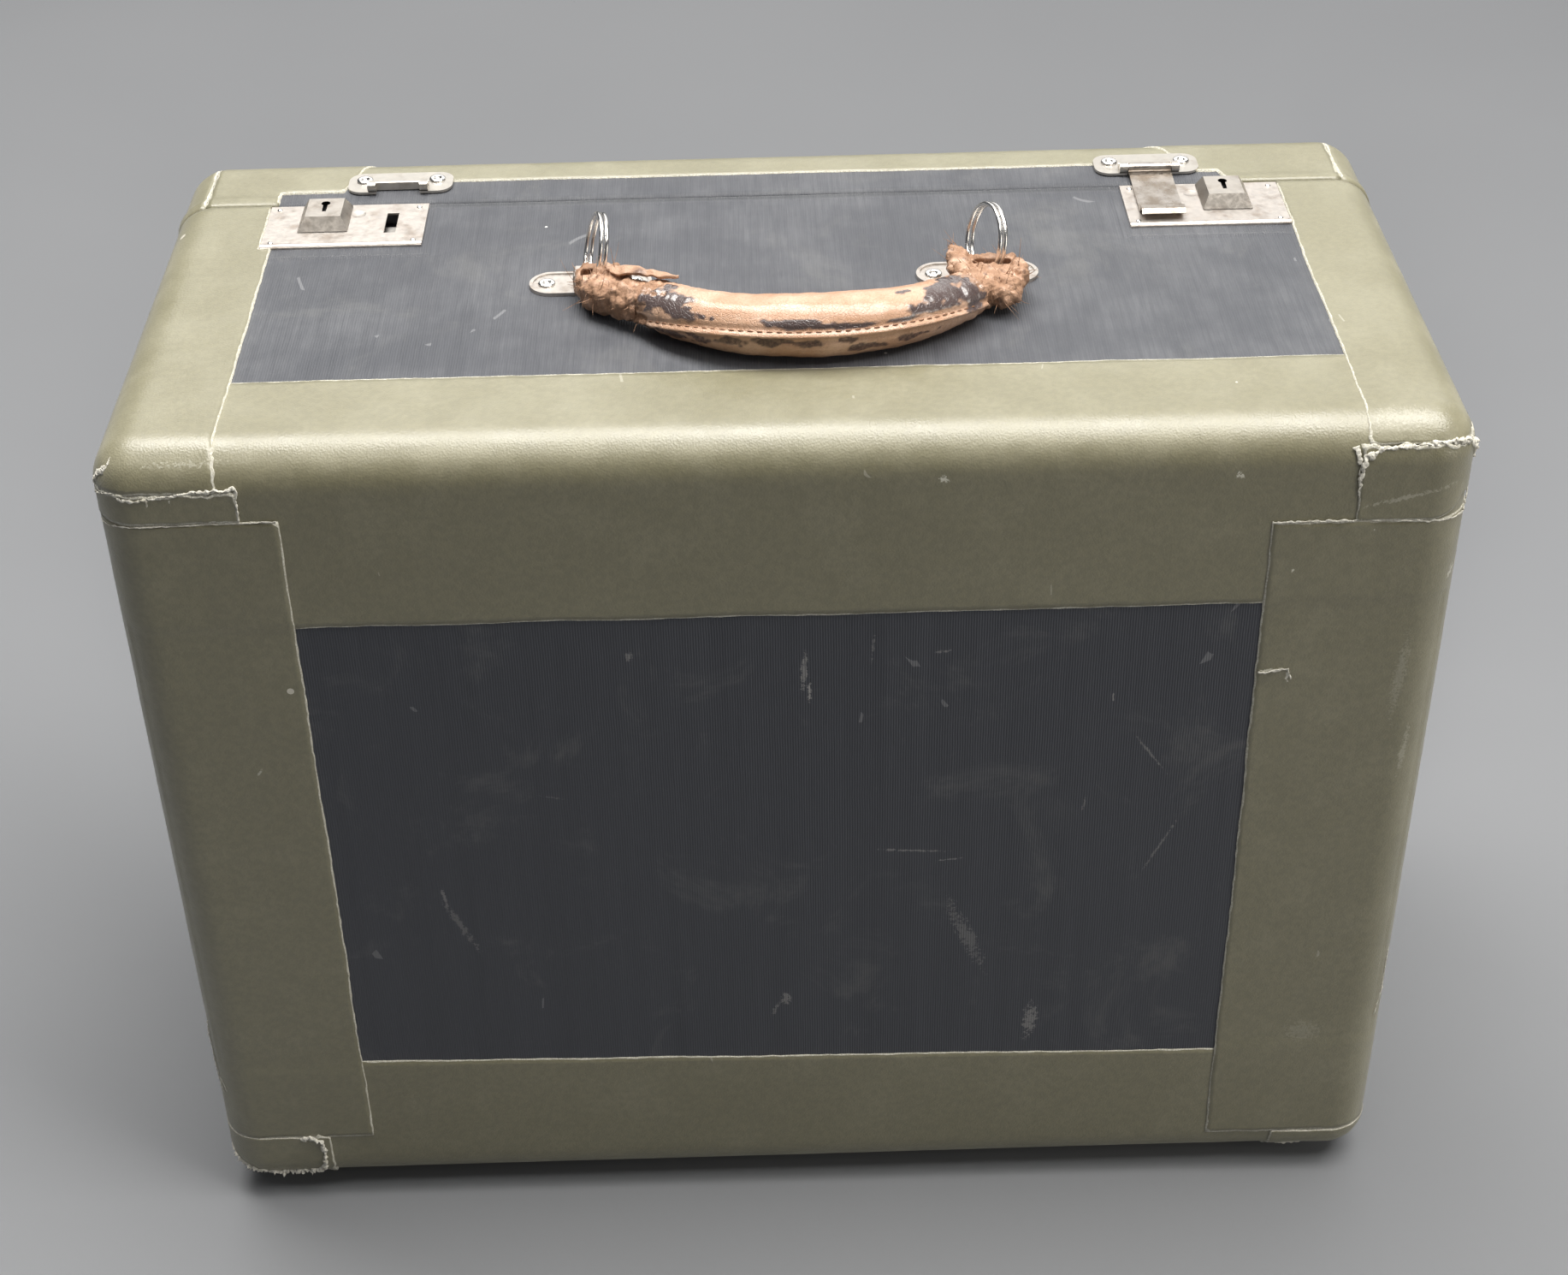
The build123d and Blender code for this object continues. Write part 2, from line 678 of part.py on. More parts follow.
def grip_station(share):
    """Plane across the grip at a share of its half length, its x outward and its y upward."""
    angle = math.radians(share * grip_half_angle)
    middle = (grip_arc_radius * math.sin(angle), grip_arc_radius * (1 - math.cos(angle)) - grip_reach, 0)
    across = Plane(origin=middle, x_dir=(math.sin(angle), -math.cos(angle), 0),
                   z_dir=(-math.cos(angle), -math.sin(angle), 0))
    return Plane(grip_plane.location * across.location)


def grip_radii(share, inset=0.0):
    """Half width and half height of the grip, full in the middle and drawn in at the ends."""
    fullness = math.cos(share * math.pi / 2)
    return [end + (middle - end) * fullness - inset for middle, end in zip(grip_middle, grip_end)]


def oval(share, inset=0.0):
    """Section of the grip, drawn with four quarter arcs."""
    a, b = grip_radii(share, inset)
    quarters = [EllipticalCenterArc((0, 0), a, b, start_angle=90 * k, arc_size=90) for k in range(4)]
    return (grip_station(share) * make_face(quarters)).faces()[0]


def seam_section(share):
    """Section of the sewn ridge, which stands on the outer side of the grip."""
    a, b = grip_radii(share)
    tilt = math.radians(seam_tilt)
    spot = Pos(a * math.cos(tilt), b * math.sin(tilt)) * Rot(0, 0, seam_tilt)
    return (grip_station(share) * spot * Rectangle(*seam_size)).faces()[0]


shares = [-1 + 2 * k / (grip_sections - 1) for k in range(grip_sections)]
grip = loft([oval(share) for share in shares])
core = loft([oval(share * core_share, leather_thickness) for share in shares])
parts["grip_cover"] = grip - core
parts["grip_core"] = core
parts["grip_seam"] = loft([seam_section(share) for share in shares]) - grip


def loop_section(side, point, turn, size):
    """Upright section of a loop at a point, turned toward the grip by an angle."""
    turn = math.radians(turn)
    plane = Plane(origin=point, x_dir=(side * math.cos(turn), -math.sin(turn), 0),
                  z_dir=(-math.sin(turn), -side * math.cos(turn), 0))
    return (plane * RectangleRounded(*size, loop_roundness * min(size) / 2)).faces()[0]


def end_loop(side, reach):
    """Leather loop from one end of the grip, with a curved slot in it for the wire of its ring."""
    x = sum(reach) / 2
    eye_width = reach[1] - reach[0]
    slot_height = 2 * (ring_wire_radius + eye_play)
    slot = Pos(x, handle_y + track_radius, swing_z) * Rectangle(eye_width, slot_height)
    track = revolve(slot, Axis((0, handle_y, swing_z), (1, 0, 0)))

    wall = slot_height / 2 + loop_thickness
    neck_turn = 90 - loop_start_share * grip_half_angle
    shoulder = (x + side * shoulder_from_eye[0], eye_y - shoulder_from_eye[1], eye_z + shoulder_from_eye[2])
    mouth_size = (eye_width + 2 * loop_thickness, loop_height)
    neck = grip_station(side * loop_start_share).origin
    neck_size = [2 * (radius - loop_under_grip) for radius in grip_end]
    sections = [loop_section(side, neck, neck_turn, neck_size),
                loop_section(side, shoulder, neck_turn / 2, shoulder_size),
                loop_section(side, (x, eye_y - wall, eye_z), 0, mouth_size),
                loop_section(side, (x, eye_y + wall, eye_z), 0, mouth_size)]
    return without(loft(sections, ruled=True), track, grip, parts["grip_seam"])


for side, reach in zip(sides, eyes):
    parts[side_names[side] + "_end_loop"] = end_loop(side, reach)


# Hinges
# Two butt hinges on the underside, their barrels under the seam.

hinge_axis_z = bottom_cloth - hinge_axis_drop
leaf_z = (bottom_cloth - leaf_thickness, bottom_cloth)
knuckle_length = hinge_length / knuckle_count


def hinge_leaf(side, direction, bore_radius, nails):
    """One leaf with its share of the knuckles: direction -1 is the body's leaf and 1 the lid's."""
    start = side * hinge_x - hinge_length / 2
    leaf = span((start, start + hinge_length), (seam, seam + direction * leaf_width), leaf_z)
    edge = hinge_barrel_radius + knuckle_gap
    own_first = 0 if direction < 0 else 1
    for k in range(knuckle_count):
        middle = start + (k + 0.5) * knuckle_length
        if k % 2 == own_first:
            own = around(middle, knuckle_length - knuckle_gap)
            leaf += rod(hinge_barrel_radius, own[1] - own[0], (own[0], seam, hinge_axis_z), (1, 0, 0))
        else:
            leaf -= region(around(middle, knuckle_length + knuckle_gap), around(seam, 2 * edge))
    bore = rod(bore_radius, hinge_length, (start, seam, hinge_axis_z), (1, 0, 0))
    return without(leaf, bore, *nails)


pins = []
lid_nails = []
for side in sides:
    name = side_names[side]
    pin_start = (side * hinge_x - hinge_length / 2, seam, hinge_axis_z)
    pins.append(rod(hinge_pin_radius, hinge_length, pin_start, (1, 0, 0)))
    body_leaf = ("body", -1, hinge_pin_radius, body_nails, ("bottom_board", "body_cloth"))
    lid_leaf = ("lid", 1, hinge_pin_radius + pin_clearance, lid_nails, ("lid_bottom_rim", "lid_cloth"))
    for owner, direction, bore_radius, store, nailed in (body_leaf, lid_leaf):
        y = seam + direction * leaf_nail_from_axis
        nails = [nail(side * hinge_x + k * leaf_nail_spread, y, leaf_z[0], turn=180) for k in (-1, 0, 1)]
        store += nails
        parts[f"{name}_hinge_{owner}_leaf"] = hinge_leaf(side, direction, bore_radius, nails)
        cut(nailed, *nails)
parts["hinge_pins"] = group(pins)
parts["body_nails"] = group(body_nails)
parts["lid_nails"] = group(lid_nails)
cut(("bottom_board", "body_cloth", "bottom_front_band", "bottom_strips"), *feet)

for node, solid in parts.items():
    export_step(solid, f"parts/{node}.step")
print(len(parts), "parts")
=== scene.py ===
import math

import bmesh
import bpy
import numpy as np
from mathutils import Matrix, Vector
from mathutils.kdtree import KDTree


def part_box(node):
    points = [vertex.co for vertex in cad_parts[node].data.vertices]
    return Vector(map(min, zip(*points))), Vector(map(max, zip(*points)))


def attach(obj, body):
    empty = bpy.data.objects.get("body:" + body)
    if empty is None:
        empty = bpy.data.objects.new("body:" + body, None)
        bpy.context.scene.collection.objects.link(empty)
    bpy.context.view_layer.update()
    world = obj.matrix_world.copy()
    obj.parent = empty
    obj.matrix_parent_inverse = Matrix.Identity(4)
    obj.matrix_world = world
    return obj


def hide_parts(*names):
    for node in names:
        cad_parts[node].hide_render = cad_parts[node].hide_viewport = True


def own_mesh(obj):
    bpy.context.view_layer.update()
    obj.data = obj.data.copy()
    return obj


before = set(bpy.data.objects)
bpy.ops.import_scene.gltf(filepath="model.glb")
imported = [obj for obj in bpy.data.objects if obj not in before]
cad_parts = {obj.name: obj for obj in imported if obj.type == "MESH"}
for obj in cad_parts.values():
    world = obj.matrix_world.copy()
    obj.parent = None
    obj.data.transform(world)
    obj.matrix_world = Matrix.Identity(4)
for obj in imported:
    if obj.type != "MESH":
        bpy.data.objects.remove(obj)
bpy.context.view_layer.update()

# Camera
# It stands a little left of the middle, high in front of the case, and looks down on its front and top.
# Its place and turn were worked out from the edges of the case in the photograph.
turned, lowered, tipped = math.radians(0.64), math.radians(36.03), math.radians(1.17)
forward = Vector((math.sin(turned) * math.cos(lowered), math.cos(turned) * math.cos(lowered),
                  -math.sin(lowered)))
level = Vector((math.cos(turned), -math.sin(turned), 0))
down = forward.cross(level)
rightward = math.cos(tipped) * level + math.sin(tipped) * down
downward = math.cos(tipped) * down - math.sin(tipped) * level


def put_in_scene(name, data):
    """A new object that holds this data."""
    made = bpy.data.objects.new(name, data)
    bpy.context.scene.collection.objects.link(made)
    return made


lens = bpy.data.cameras.new("camera")
lens.sensor_width = 36
lens.lens = 57.92
lens.clip_end = 60
camera = put_in_scene("camera", lens)
camera.matrix_world = Matrix((rightward, -downward, -forward)).transposed().to_4x4()
camera.location = (-0.01014, -0.84772, 0.81768)
bpy.context.scene.camera = camera


# Floor and light
# A plain pale floor, with a soft hollow behind the case that the lid opens down into. A broad soft light
# above leaves the front in soft shade as in the photograph, with weaker ones behind, in front and at the
# side.
def add(tree, kind, inputs=None, **settings):
    """Add a node, set its settings, then set each input or connect it."""
    made = tree.nodes.new(kind)
    for key, value in settings.items():
        setattr(made, key, value)
    for key, value in (inputs or {}).items():
        socket = made.inputs[key]
        if isinstance(value, bpy.types.NodeSocket):
            tree.links.new(value, socket)
        else:
            socket.default_value = value
    return made


def calc(tree, operation, first, second=0.0, clamp=False):
    """One sum on values."""
    return add(tree, "ShaderNodeMath", {0: first, 1: second}, operation=operation, use_clamp=clamp).outputs[0]


def times(tree, first, second, clamp=False):
    """Product of two values."""
    return calc(tree, "MULTIPLY", first, second, clamp)


def plus(tree, first, second, clamp=False):
    """Sum of two values."""
    return calc(tree, "ADD", first, second, clamp)


def ramp(tree, value, start, end, low=0.0, high=1.0):
    """Smooth step of a value between a start and an end."""
    inputs = {"Value": value, "From Min": start, "From Max": end, "To Min": low, "To Max": high}
    return add(tree, "ShaderNodeMapRange", inputs, interpolation_type="SMOOTHSTEP").outputs[0]


def noise(tree, place, scale, detail=3.0, roughness=0.5, distortion=0.0):
    """Noise of a size, given as waves per metre."""
    inputs = {"Vector": place, "Scale": scale, "Detail": detail, "Roughness": roughness,
              "Distortion": distortion}
    return add(tree, "ShaderNodeTexNoise", inputs).outputs[0]


def tint(tree, factor, first, second):
    """Colour between two colours."""
    return add(tree, "ShaderNodeMix", {0: factor, 6: first, 7: second}, data_type="RGBA").outputs[2]


def split(tree, vector):
    """The three parts of a vector."""
    return add(tree, "ShaderNodeSeparateXYZ", {0: vector}).outputs


def stretched(tree, place, scale):
    """A place with its axes scaled, so that a pattern is drawn out."""
    return add(tree, "ShaderNodeMapping", {"Vector": place, "Scale": scale}).outputs[0]


def start_material(name, metallic=0.0, specular=0.5, sheen=0.0):
    """A new material, its node tree, its shader and the place on the piece."""
    made = bpy.data.materials.new(name)
    made.use_nodes = True
    shader = made.node_tree.nodes["Principled BSDF"]
    for label, value in (("Metallic", metallic), ("Specular IOR Level", specular), ("Sheen Weight", sheen)):
        shader.inputs[label].default_value = value
    place = made.node_tree.nodes.new("ShaderNodeTexCoord").outputs["Object"]
    return made, made.node_tree, shader, place


def finish_material(tree, shader, color, roughness, height=None, depth=0.0002, strength=1.0):
    """Join colour, roughness and bump to the shader."""
    tree.links.new(color, shader.inputs["Base Color"])
    tree.links.new(roughness, shader.inputs["Roughness"])
    if height is not None:
        bump = add(tree, "ShaderNodeBump", {"Height": height, "Distance": depth, "Strength": strength})
        tree.links.new(bump.outputs[0], shader.inputs["Normal"])


bpy.context.scene.view_settings.view_transform = "Standard"
floor_material, tree, shader, place = start_material("pale_floor", specular=0.1)
cloud = noise(tree, place, 3.0, 4.0)
finish_material(tree, shader, tint(tree, cloud, (0.20, 0.205, 0.215, 1), (0.225, 0.23, 0.24, 1)),
                ramp(tree, cloud, 0.2, 0.8, 0.75, 0.85))
floor_mesh = bpy.data.meshes.new("floor")
lid_reach = 0.252
outward = lid_reach + 1.1 * np.linspace(0, 1, 60) ** 2
lines_x = np.concatenate(((-6, -3), -outward[::-1], (0,), outward, (3, 6)))
lines_y = np.concatenate(((-6, -2, 0.03, 0.045, 0.0555), 0.0575 + 1.9 * np.linspace(0, 1, 80) ** 2, (3, 6)))
floor_x, floor_y = (values.reshape(-1) for values in np.meshgrid(lines_x, lines_y))


def eased(values):
    """Soft step from 0 to 1."""
    values = np.clip(values, 0, 1)
    return values * values * (3 - 2 * values)


beside = np.maximum(np.abs(floor_x) - lid_reach, 0)
hollow = eased((floor_y - 0.0555) / (0.002 + 6 * beside)) * (1 - eased(beside / 0.95))
hollow *= (1 - eased((floor_y - 0.44) / 1.3)) * (0.06 + 0.07 * np.clip((floor_y - 0.06) / 0.38, 0, 1))
count = len(lines_x)
corners = (np.arange(len(lines_y) - 1)[:, None] * count + np.arange(count - 1)).reshape(-1, 1)
floor_faces = (corners + (0, 1, count + 1, count)).tolist()
floor_mesh.from_pydata(np.stack((floor_x, floor_y, -hollow), -1).tolist(), [], floor_faces)
floor_mesh.polygons.foreach_set("use_smooth", [True] * len(floor_faces))
floor_mesh.materials.append(floor_material)
floor = put_in_scene("floor", floor_mesh)

air = bpy.data.worlds.new("studio_air")
air.use_nodes = True
air.node_tree.nodes["Background"].inputs["Color"].default_value = (0.80, 0.86, 1.0, 1)
air.node_tree.nodes["Background"].inputs["Strength"].default_value = 0.08
bpy.context.scene.world = air


def soft_light(name, place, aim, size, power, color):
    """Large rectangular light that points at a place."""
    lamp = bpy.data.lights.new(name, "AREA")
    lamp.shape = "RECTANGLE"
    lamp.size, lamp.size_y = size
    lamp.energy = power
    lamp.color = color
    holder = put_in_scene(name, lamp)
    holder.location = place
    holder.rotation_euler = (Vector(aim) - Vector(place)).to_track_quat("-Z", "Y").to_euler()


soft_light("window_light", (0.45, 2.3, 1.9), (0.05, 0, 0.35), (3.4, 2.2), 30, (1.0, 0.99, 0.97))
soft_light("ceiling_light", (0.15, 0.12, 2.4), (0.05, -0.04, 0.2), (3.2, 1.0), 128, (1.0, 0.98, 0.94))
soft_light("tube_light", (0.15, -1.05, 2.35), (0.1, -0.1, 0.36), (2.8, 0.3), 12, (1.0, 0.98, 0.95))
soft_light("side_light", (1.05, -0.75, 0.55), (0.26, -0.12, 0.22), (0.5, 0.6), 3.4, (1.0, 0.95, 0.86))


# Boards
# Thin softwood boards, mitred at the corners and glued, their outer edges planed round before covering.
# Only their edges show, at the mouth of the open case.
def effect(name, ins, outs=("Mask",)):
    """Start a shader group. Its inputs are numbers, or vectors where no number is given."""
    group = bpy.data.node_groups.new(name, "ShaderNodeTree")
    for label, value in ins.items():
        kind = "NodeSocketVector" if value is None else "NodeSocketFloat"
        socket = group.interface.new_socket(label, in_out="INPUT", socket_type=kind)
        if value is not None:
            socket.default_value = value
    for label in outs:
        group.interface.new_socket(label, in_out="OUTPUT", socket_type="NodeSocketFloat")
    return group, group.nodes.new("NodeGroupInput").outputs, group.nodes.new("NodeGroupOutput").inputs


def use(tree, group, inputs):
    """Place a shader group in a material and return its outputs."""
    return add(tree, "ShaderNodeGroup", inputs, node_tree=group).outputs


def wear_finish(node, material):
    """Give a CAD node its material."""
    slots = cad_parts[node].data.materials
    slots.clear()
    slots.append(material)


def pine(name, along):
    """Pale softwood with its grain along one axis."""
    made, tree, shader, place = start_material(name, specular=0.3)
    scale = [320.0, 320.0, 320.0]
    scale[along] = 14.0
    fibres = noise(tree, stretched(tree, place, scale), 1.0, 4.0, 0.6)
    rings = noise(tree, stretched(tree, place, [value / 5 for value in scale]), 1.0, 2.0)
    wood = tint(tree, rings, (0.52, 0.36, 0.20, 1), (0.36, 0.23, 0.12, 1))
    wood = tint(tree, ramp(tree, fibres, 0.45, 0.75, 0.0, 0.5), wood, (0.24, 0.15, 0.08, 1))
    finish_material(tree, shader, wood, ramp(tree, fibres, 0.3, 0.7, 0.6, 0.8), fibres, 0.0001)
    return made


pine_lengthwise = pine("pine_lengthwise", 0)
pine_upright = pine("pine_upright", 2)
for node in ("front_board", "top_board", "bottom_board", "lid_panel", "lid_top_rim", "lid_bottom_rim"):
    wear_finish(node, pine_lengthwise)
for node in ("left_board", "right_board", "lid_left_rim", "lid_right_rim"):
    wear_finish(node, pine_upright)


# Linings and lip
# Both halves are lined with thin beige cotton cloth, pasted to the boards. A planed wooden lip stands in
# the mouth of the body and centres the lid.
lining_material, tree, shader, place = start_material("beige_lining", specular=0.2, sheen=0.15)
axes = split(tree, place)
thread = 2 * math.pi / 0.0007
weave = times(tree, calc(tree, "SINE", times(tree, axes[0], thread)),
             calc(tree, "SINE", times(tree, plus(tree, axes[1], axes[2]), thread)))
stain = noise(tree, place, 9.0, 5.0, 0.6)
cotton = tint(tree, stain, (0.50, 0.42, 0.31, 1), (0.40, 0.32, 0.22, 1))
foxing = ramp(tree, noise(tree, place, 30.0, 4.0), 0.62, 0.75, 0.0, 0.4)
cotton = tint(tree, foxing, cotton, (0.27, 0.20, 0.13, 1))
finish_material(tree, shader, cotton, ramp(tree, stain, 0.3, 0.7, 0.8, 0.95), weave, 0.00008)
for node in ("body_lining", "lid_lining"):
    wear_finish(node, lining_material)
wear_finish("lip_strip", pine("lip_wood", 0))


# Black cloth
# Black ribbed bookcloth is pasted over the boards of both halves and turned in at the mouth. It is pressed
# into a raised line round each lock, is greyed on top by dust and a painted sheen and has a few scratches
# on the front.
mm = 0.001
low_corner = np.array((-0.240, -0.118, 0.007))
high_corner = np.array((0.240, 0.118, 0.369))
corner_round = 0.017
body_mouth, lid_mouth = 70.3, 70.7
cloth_inset = 1.0


def ripple(points, size, seed):
    """Smooth seeded waviness, about -1 to 1, in lumps of about one size."""
    chance = np.random.default_rng(seed)
    total = np.zeros(len(points))
    for _ in range(8):
        heading = chance.normal(size=3)
        heading *= 2 * math.pi / (np.linalg.norm(heading) * size * chance.uniform(0.7, 1.5))
        total += np.sin(points @ heading + chance.uniform(0, 2 * math.pi))
    return total / 3.2


def rungs(low, high, limits, step):
    """Places along one axis that take in every limit and are about a step apart."""
    marks = sorted({low, high, *[value for value in limits if low < value < high]})
    places = []
    for first, second in zip(marks, marks[1:]):
        count = max(1, round((second - first) / step))
        places += list(np.linspace(first, second, count, endpoint=False))
    return np.array(places + [high])


def box_faces(keep, limits, step):
    """The wanted squares on the sharp-cornered case and the points they join, in millimetres."""
    low, high = low_corner / mm, high_corner / mm
    lines = [rungs(low[k], high[k], limits[k], step) for k in range(3)]
    points, squares, used = [], [], 0
    for axis in range(3):
        across, along = (axis + 1) % 3, (axis + 2) % 3
        for end in (low, high):
            first, second = np.meshgrid(lines[across], lines[along], indexing="ij")
            grid = np.zeros((*first.shape, 3))
            grid[..., axis], grid[..., across], grid[..., along] = end[axis], first, second
            middle = (grid[:-1, :-1] + grid[1:, 1:]) / 2
            index = np.arange(first.size).reshape(first.shape) + used
            ring = np.stack((index[:-1, :-1], index[1:, :-1], index[1:, 1:], index[:-1, 1:]), -1)
            if end is low:
                ring = ring[..., ::-1]
            squares.append(ring[keep(*np.moveaxis(middle, -1, 0))])
            points.append(grid.reshape(-1, 3))
            used += first.size
    points, squares = np.concatenate(points), np.concatenate(squares)
    _, first_use, merged = np.unique(np.round(points * 1e4).astype(np.int64), axis=0,
                                     return_index=True, return_inverse=True)
    squares = merged.reshape(-1)[squares]
    kept, squares = np.unique(squares, return_inverse=True)
    return points[first_use][kept], squares.reshape(-1, 4)


def wrap(points, inset):
    """Lay points of the sharp-cornered case on the rounded one, drawn in by an inset."""
    core = np.clip(points, low_corner / mm + corner_round / mm, high_corner / mm - corner_round / mm)
    away = points - core
    away /= np.linalg.norm(away, axis=1)[:, None]
    return core + away * (corner_round / mm - inset)[:, None], away


def carried(name, mesh, body, nodes=()):
    """Make a mesh into a piece that rides on a body and stands for CAD nodes."""
    piece = put_in_scene(name, mesh)
    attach(piece, body)
    if nodes:
        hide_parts(*nodes)
    return piece


def new_piece(name, points, faces, material, body, marks=None, nodes=()):
    """Make points in millimetres and faces into a piece."""
    mesh = bpy.data.meshes.new(name)
    mesh.from_pydata((np.asarray(points) * mm).tolist(), [], [list(map(int, face)) for face in faces])
    for label, values in (marks or {}).items():
        mesh.attributes.new(label, "FLOAT", "POINT").data.foreach_set("value", np.asarray(values, np.float32))
    mesh.polygons.foreach_set("use_smooth", [True] * len(mesh.polygons))
    mesh.materials.append(material)
    mesh.update()
    return carried(name, mesh, body, nodes)


def skin(name, node, body, slot, material, keep, limits, inset, step, fray=None, lean=None, bulge=None):
    """A covering on the case, slightly uneven, with a lip along its cut edge that goes down to the cloth.
    fray gives how ragged the edge is at a place, from 0 to 1, lean shifts places, and bulge raises them."""
    points, squares = box_faces(keep, limits, step)
    sides = np.concatenate([squares[:, [k, (k + 1) % 4]] for k in range(4)])
    owner = np.tile(np.arange(len(squares)), 4)
    _, where, count = np.unique(np.sort(sides, axis=1), axis=0, return_inverse=True, return_counts=True)
    open_side = count[where.reshape(-1)] == 1
    edge_sides, edge_owner = sides[open_side], owner[open_side]
    outward = np.zeros_like(points)
    push = points[edge_sides].mean(1) - points[squares[edge_owner]].mean(1)
    push /= np.linalg.norm(push, axis=1)[:, None]
    for k in range(2):
        np.add.at(outward, edge_sides[:, k], push)
    border = np.unique(edge_sides)
    outward[border] /= np.maximum(np.linalg.norm(outward[border], axis=1), 0.2)[:, None]
    mouth = body_mouth if body == "case_body" else lid_mouth
    at_mouth = np.abs(points[:, 1] - mouth) < 0.05
    ragged = np.full(len(points), 0.08) if fray is None else fray(*points.T)
    free = [vertex for vertex in border if not at_mouth[vertex]]
    tree = KDTree(max(1, len(free)))
    for vertex in free:
        tree.insert(points[vertex], vertex)
    tree.balance()
    nearest, distance = np.zeros(len(points), int), np.full(len(points), 99.0)
    if free:
        for index, point in enumerate(points):
            _, nearest[index], distance[index] = tree.find(point)
    seed = sum(map(ord, name))
    wander = (0.25 * ripple(points, 38, seed) + (0.04 + 0.9 * ragged) * ripple(points, 7, seed + 1)
              + ragged * ripple(points, 3, seed + 2))
    pull = np.clip(1 - distance / 7, 0, 1) ** 2 * wander[nearest]
    pull[at_mouth] = 0
    shift = outward[nearest] * pull[:, None]
    shift[at_mouth] = 0
    moved = points + shift
    if lean is not None:
        moved = moved + lean(*points.T)
    insets = np.full(len(points), float(inset))
    surface, away = wrap(moved, insets)
    uneven = 0.05 * ripple(points, 55, seed + 3) + 0.03 * ripple(points, 14, seed + 4)
    lifted = np.clip(ripple(points, 11, seed + 5) + 0.25, 0, 1)
    curl = 0.95 * ragged * lifted * np.clip(1 - distance / 3, 0, 1)
    curl[at_mouth] = 0
    if bulge is not None:
        uneven = uneven + bulge(*points.T)
    surface = surface + away * (uneven + curl)[:, None]
    lip_width = 0.12 + ragged[border] * (0.7 + 1.4 * np.clip(ripple(points[border], 5, seed + 6) + 0.3, 0, 1))
    lip_width[at_mouth[border]] = 0
    lip_inset = np.full(len(border), max(inset, cloth_inset) + 0.55)
    lip, _ = wrap(moved[border] + outward[border] * lip_width[:, None], lip_inset)
    number = np.full(len(points), -1)
    number[border] = np.arange(len(border)) + len(points)
    rim = np.concatenate((edge_sides[:, ::-1], number[edge_sides]), 1)
    every = np.concatenate((surface, lip))
    cut = np.concatenate((distance, np.zeros(len(border))))
    cut[len(points):][at_mouth[border]] = 3.0
    turn = np.concatenate((1 - np.abs(away).max(1), np.zeros(len(border)))) / 0.42
    frays = np.concatenate((ragged[nearest], ragged[border]))
    new_piece(name, every, np.concatenate((squares, rim)), material, body,
              {"cut_distance": cut, "turn": turn, "ragged": frays}, [node])


def near_line(x, y, start, end):
    """Distance to a straight line between two places on the top."""
    run = np.array(end) - np.array(start)
    share = np.clip(((x - start[0]) * run[0] + (y - start[1]) * run[1]) / (run @ run), 0, 1)
    return np.hypot(x - start[0] - share * run[0], y - start[1] - share * run[1])


flecks, given, result = effect("flecks", {"Place": None, "Spacing": 60.0, "Size": 0.1, "Share": 0.1})
cells = add(flecks, "ShaderNodeTexVoronoi", {"Vector": given["Place"], "Scale": given["Spacing"]})
luck = add(flecks, "ShaderNodeSeparateColor", {0: cells.outputs["Color"]}).outputs[0]
chosen = calc(flecks, "LESS_THAN", luck, given["Share"])
speck = calc(flecks, "LESS_THAN", cells.outputs["Distance"], given["Size"])
flecks.links.new(times(flecks, chosen, speck), result["Mask"])

scratches, given, result = effect("scratches", {"Place": None, "Scale": 30.0, "Width": 0.004, "Share": 0.4})
lines = noise(scratches, stretched(scratches, given["Place"], (1.0, 0.35, 0.22)), given["Scale"], 0.0)
from_line = calc(scratches, "ABSOLUTE", calc(scratches, "SUBTRACT", lines, 0.5))
line = calc(scratches, "LESS_THAN", from_line, given["Width"])
gate = calc(scratches, "LESS_THAN", noise(scratches, given["Place"], 60.0, 1.0), given["Share"])
scratches.links.new(times(scratches, line, gate), result["Mask"])

mark, given, result = effect("mark", {"Place": None, "Middle": None, "Reach": None, "Turn": 0.0})
spin = add(mark, "ShaderNodeCombineXYZ", {1: given["Turn"]}).outputs[0]
placing = {"Vector": given["Place"], "Location": given["Middle"], "Rotation": spin, "Scale": given["Reach"]}
local = add(mark, "ShaderNodeMapping", placing, vector_type="TEXTURE").outputs[0]
away = add(mark, "ShaderNodeVectorMath", {0: local}, operation="LENGTH").outputs["Value"]
broken = ramp(mark, noise(mark, given["Place"], 800.0, 3.0, 0.7), 0.3, 0.7, -0.45, 0.7)
mark.links.new(ramp(mark, plus(mark, away, broken), 1.0, 0.6), result["Mask"])


def marked(tree, place, spots):
    """Pale marks, mostly scrapes, each given as x, z, half width and half height in millimetres, slant in
    degrees and strength.
    One that isn't flat on the front also has its y and half depth."""
    total = 0.0
    for x, z, wide, tall, slant, strength, *depth in spots:
        y, deep = depth or (-117, 5)
        given = {"Place": place, "Middle": (x * mm, y * mm, z * mm),
                 "Reach": (wide * mm, deep * mm, tall * mm), "Turn": math.radians(slant)}
        total = calc(tree, "MAXIMUM", total, times(tree, use(tree, mark, given)["Mask"], strength))
    return total


def stored(tree, name):
    """A value stored on the points of the piece."""
    return add(tree, "ShaderNodeAttribute", attribute_name=name).outputs["Fac"]


# Dust, and a painted sheen, on surfaces that face up: both lighten the tops.
dust_and_sheen, given, result = effect("dust_and_sheen", {"Place": None, "Normal": None, "Amount": 0.5})
upward = ramp(dust_and_sheen, split(dust_and_sheen, given["Normal"])[2], 0.3, 1.0)
drift = ramp(dust_and_sheen, noise(dust_and_sheen, given["Place"], 26.0, 6.0, 0.65), 0.35, 0.7, 0.35, 1.0)
dust_and_sheen.links.new(times(dust_and_sheen, times(dust_and_sheen, upward, drift), given["Amount"]), result["Mask"])


def turn_of(tree):
    """Which way the surface faces on the closed case."""
    return add(tree, "ShaderNodeTexCoord").outputs["Normal"]


